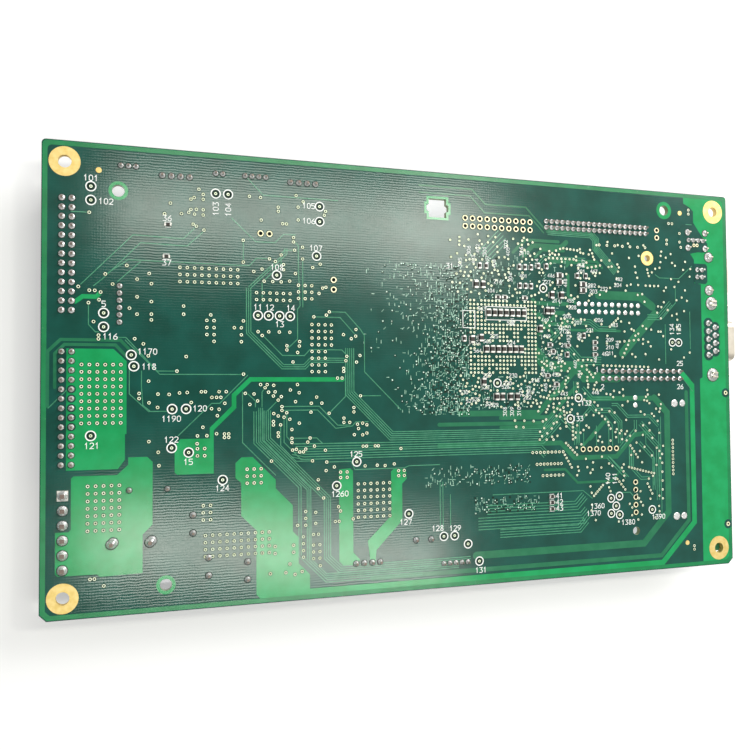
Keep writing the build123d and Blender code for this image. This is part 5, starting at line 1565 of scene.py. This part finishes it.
# %% Pads and rings on the component side
for x, y in CORNERS:
    leg_pads.ring(x, y, CORNER_RING, CORNER_HOLE, UNDER_SUNK, PAD_THICK, 40)
for name, places in WIRES.items():
    pad = JOINT_SIZES[name][0]
    if pad < LARGE_PAD:
        for x, y in places:
            leg_pads.ring(x, y, pad, 0.3, UNDER_SUNK, PAD_THICK)
for x, y in EMPTY_HOLES:
    leg_pads.ring(x, y, 0.82, 0.5, UNDER_SUNK, PAD_THICK)
leg_pads.make("component_side_pads", "plated_gold")

# %% Copper on the component side
UNDER_POURS = [
    HEAD_SUPPLY, POWER_INPUT, MOTOR_SUPPLY, [(-15.5, 45), (-15.5, -2), (-12, -5), (10, -5), (10, 45)],
    [(97.5, -60), (110, -60), (110, 0), (97.5, 0)],
]
UNDER_BUNDLES = [
    (12, 0.8, [(12, 29), (9, 29), (4, 29)]), (10, 0.8, [(40, 12), (39, 12), (37, 12)]),
    (8, 0.8, [(45, -22), (45, -38), (30, -50), (-10, -50)]), (8, 0.8, [(54, -12), (66, -12), (72, -6)]),
    (6, 0.8, [(25, -1), (25, -16), (10, -28), (-40, -28)]), (8, 0.9, [(-100, 33), (-60, 20), (-46, 20)]),
    (6, 0.9, [(48, 20), (48, 40), (56, 46)]), (5, 0.9, [(-26, 46), (-26, 24), (-42, 12)]),
    (6, 0.9, [(70, 36), (84, 30), (84, 16)]),
]
under_pours = Relief(under=True)
for outline in UNDER_POURS:
    under_pours.prism(outline, UNDER_SUNK, UNDER_POUR)
under_pours.make("component_side_pours", "band_lacquer")

under_tracks = Relief(under=True)
for count, pitch, line in UNDER_BUNDLES:
    bundle(under_tracks, count, pitch, line, 0.3, UNDER_SUNK, UNDER_TRACK)
under_tracks.make("component_side_tracks", "track_lacquer")

# %% [markdown]
# White outlines show the assembler which part stands where. Drawing them by hand would fix today's
# places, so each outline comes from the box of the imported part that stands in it. Round parts get a
# ring, and chips get a wider frame, because their legs reach past the body.

# %% Outlines of the parts
OUTLINE_GAP = 0.6
LEGGED_GAP = 1.6
OUTLINE_WIDTH = 0.2
EDGE_MARGIN = 0.5
LEGGED = ["logic_chips", "motor_drivers", "memory_chips", "flash_chip"]
BODY_NAMES = ("_header", "_socket", "_connector", "_base", "_core")
OUTLINED = [name for name in frame["nodes"] if name.endswith(BODY_NAMES)]
OUTLINED += LEGGED + ["gate_array", "interface_controller", "processor", "power_inductors", "crystals"]
OUTLINED += [f"capacitor_{i}" for i in (1, 2, 3, 4)]
outlines = Relief(under=True)
for name in OUTLINED:
    for low, high in loose_parts(name):
        if name.startswith("capacitor"):
            reach = (high.x - low.x) / 2 + OUTLINE_GAP
            outlines.ring((low.x + high.x) / 2, (low.y + high.y) / 2, reach, reach - OUTLINE_WIDTH, UNDER_SUNK,
                          UNDER_LEGEND, 40)
            continue
        gap = LEGGED_GAP if name in LEGGED else OUTLINE_GAP
        x0, x1 = max(low.x - gap, LEFT + EDGE_MARGIN), min(high.x + gap, RIGHT - EDGE_MARGIN)
        y0, y1 = max(low.y - gap, BOTTOM + EDGE_MARGIN), min(high.y + gap, TOP - EDGE_MARGIN)
        corners = [(x0, y0), (x1, y0), (x1, y1), (x0, y1)]
        for a, b in zip(corners, corners[1:] + corners[:1]):
            outlines.track([a, b], OUTLINE_WIDTH, UNDER_SUNK, UNDER_LEGEND)
outlines.make("component_side_legend", "legend_ink")

# %% [markdown]
# ## The floor, the light and the camera
# The board lies on a pale table under one large soft key lamp. A glossy mask is only seen to be glossy when it
# mirrors something, so three low-powered lamps hang straight above it: the camera sees their reflections as a
# long sheen at the top, a small bright patch beside it and a fainter sheen along the bottom edge. A pale sheet
# under the board glows and lifts the board's shadow: painted light, not a lamp.

# %% Table
TABLE = cad_box[0][2]
SHEET_LIFT = 0.2 * MM


def stage_sheet(name, low, high, level, glow):
    """A flat pale sheet that glows a little: evenly for the table, and as painted fill light in the board's
    shadow for the sheet under it; low and high are two corners.
    """
    (x0, y0), (x1, y1) = low, high
    mesh = bpy.data.meshes.new(name)
    mesh.from_pydata([(x0, y0, level), (x1, y0, level), (x1, y1, level), (x0, y1, level)], [], [(0, 1, 2, 3)])
    sheet = bpy.data.objects.new(name, mesh)
    material, shader = new_finish(name + "_paper", (0.62, 0.62, 0.62), 0.9)
    shader.inputs["Emission Color"].default_value = (1, 1, 1, 1)
    shader.inputs["Emission Strength"].default_value = glow
    mesh.materials.append(material)
    bpy.context.scene.collection.objects.link(sheet)


stage_sheet("table", (-3.0, -3.0), (3.0, 3.0), TABLE, 0.32)
# Painted light: a glowing sheet under the board that brightens its shadow.
stage_sheet("board_shadow_glow_sheet", (-0.100, -0.0595), (0.105, 0.0635), TABLE + SHEET_LIFT, 0.55)
print(f"table at {TABLE / MM:.1f} mm")

# %% Lamps
SHEEN_COLOR = (0.99, 1.0, 0.90)
SHEEN_HEIGHT = 620


def soft_lamp(name, place, target, size_x, size_y, power, spin=0, color=(1, 1, 1)):
    """A rectangle of light; its size is in millimetres and its power in watts."""
    data = bpy.data.lights.new(name, "AREA")
    data.shape = "RECTANGLE"
    data.size = size_x * MM
    data.size_y = size_y * MM
    data.energy = power
    data.color = color
    lamp = bpy.data.objects.new(name, data)
    lamp.location = Vector(place) * MM
    aim = (Vector(target) - Vector(place)).to_track_quat("-Z", "Y")
    lamp.rotation_euler = (aim @ Quaternion((0, 0, 1), math.radians(spin))).to_euler()
    bpy.context.scene.collection.objects.link(lamp)


def sheen_lamp(name, x, y, *size_and_power, spin=0):
    """A lamp straight above x, y that the mask mirrors."""
    soft_lamp(name, (x, y, SHEEN_HEIGHT), (x, y, 0), *size_and_power, spin, SHEEN_COLOR)


soft_lamp("key_lamp", (950, 900, 800), (0, 0, 0), 800, 800, 21)
sheen_lamp("upper_sheen_lamp", 97, 195, 425, 84, 1.02)
sheen_lamp("bright_patch_lamp", 268, 182, 80, 46, 0.72)
sheen_lamp("lower_sheen_lamp", 64, -174, 404, 72, 1.04, spin=-7)
print("lamps:", len(bpy.data.lights))

# %% [markdown]
# The room's own light comes from all sides. A single grey would do, but a room is brighter halfway up
# its walls than at the floor or straight above, and the metal rings mirror that. So the grey follows
# the height of the direction that the light comes from.

# %% Light of the room
SKY_LEVELS = ((0.10, 0.22), (0.50, 0.46), (0.75, 0.56), (0.92, 0.50), (0.98, 0.24), (1.0, 0.20))
world = bpy.data.worlds.new("studio")
world.use_nodes = True
sky = world.node_tree
direction = sky.nodes.new("ShaderNodeTexCoord")
height_part = sky.nodes.new("ShaderNodeSeparateXYZ")
fade = sky.nodes.new("ShaderNodeValToRGB")
while len(fade.color_ramp.elements) < len(SKY_LEVELS):
    fade.color_ramp.elements.new(0.5)
for stop, (place, level) in zip(fade.color_ramp.elements, SKY_LEVELS):
    stop.position = place
    stop.color = (level, level, level, 1)
sky.links.new(direction.outputs["Generated"], height_part.inputs["Vector"])
sky.links.new(height_part.outputs["Z"], fade.inputs["Fac"])
sky.links.new(fade.outputs["Color"], sky.nodes["Background"].inputs["Color"])
bpy.context.scene.world = world
print("levels of grey:", len(SKY_LEVELS))

# %% [markdown]
# The camera stands above the left end and looks down at the middle of the board, rolled by a third of a
# degree. It could be aimed by a constraint, but its right, up and forward directions say the same in
# one matrix, which needs no target object.

# %% Camera
CAMERA_PLACE = Vector((-87.62, -5.86, 221.72))
CAMERA_TARGET = Vector((-18.69, 1.05, 0.0))
CAMERA_ROLL = math.radians(0.39)
LENS = 36.91
forward = (CAMERA_TARGET - CAMERA_PLACE).normalized()
right = Matrix.Rotation(CAMERA_ROLL, 3, forward) @ forward.cross(Vector((0, 1, 0))).normalized()
up = right.cross(forward)
camera = bpy.data.objects.new("camera", bpy.data.cameras.new("camera"))
camera.data.lens = LENS
camera.data.sensor_width = 36
camera.data.clip_start = 0.01
turn = Matrix((right, up, -forward)).transposed().to_4x4()
camera.matrix_world = Matrix.Translation(CAMERA_PLACE * MM) @ turn
bpy.context.scene.collection.objects.link(camera)
bpy.context.scene.camera = camera
bpy.context.scene.view_settings.view_transform = "Standard"
print(f"camera {CAMERA_PLACE.z:.0f} mm above the board, lens {LENS} mm")

# %% [markdown]
# ## Dressing the imported parts
# Each imported part names a material slot in the record. A finish is put on the object's own slot and not on its
# mesh, so the imported mesh stays as it is. Long leads get the finish whose dark brown top is painted shade in
# the centre of each joint.

# %% Dress the imported parts
# A slot that is not listed here has a finish of its own name.
FINISH_OF_SLOT = {
    "laminate": "solder_mask",
    "contact_wire": "tinned_wire",
    "film_box": "film_resin",
    "chip_body": "chip_ceramic",
}
# Leads whose dark brown top is painted shade in the centre of each joint.
SHADED_TIPS = [name for name in WIRES if name.endswith(("_pins", "_leads"))]


def dress(node_name, material):
    """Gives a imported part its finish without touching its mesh."""
    for place in frame["nodes"][node_name].material_slots:
        place.link = "OBJECT"
        place.material = material


for part in frame["record"]["subparts"]:
    name, slot = part["node"], part["material_slot"]
    if slot == "capacitor_can":
        dress(name, sleeve_finish(name + "_sleeve", name))
    else:
        finish = "tip_shade_wire" if name in SHADED_TIPS else FINISH_OF_SLOT.get(slot, slot)
        dress(name, finishes[finish])
print("finishes:", len(finishes))
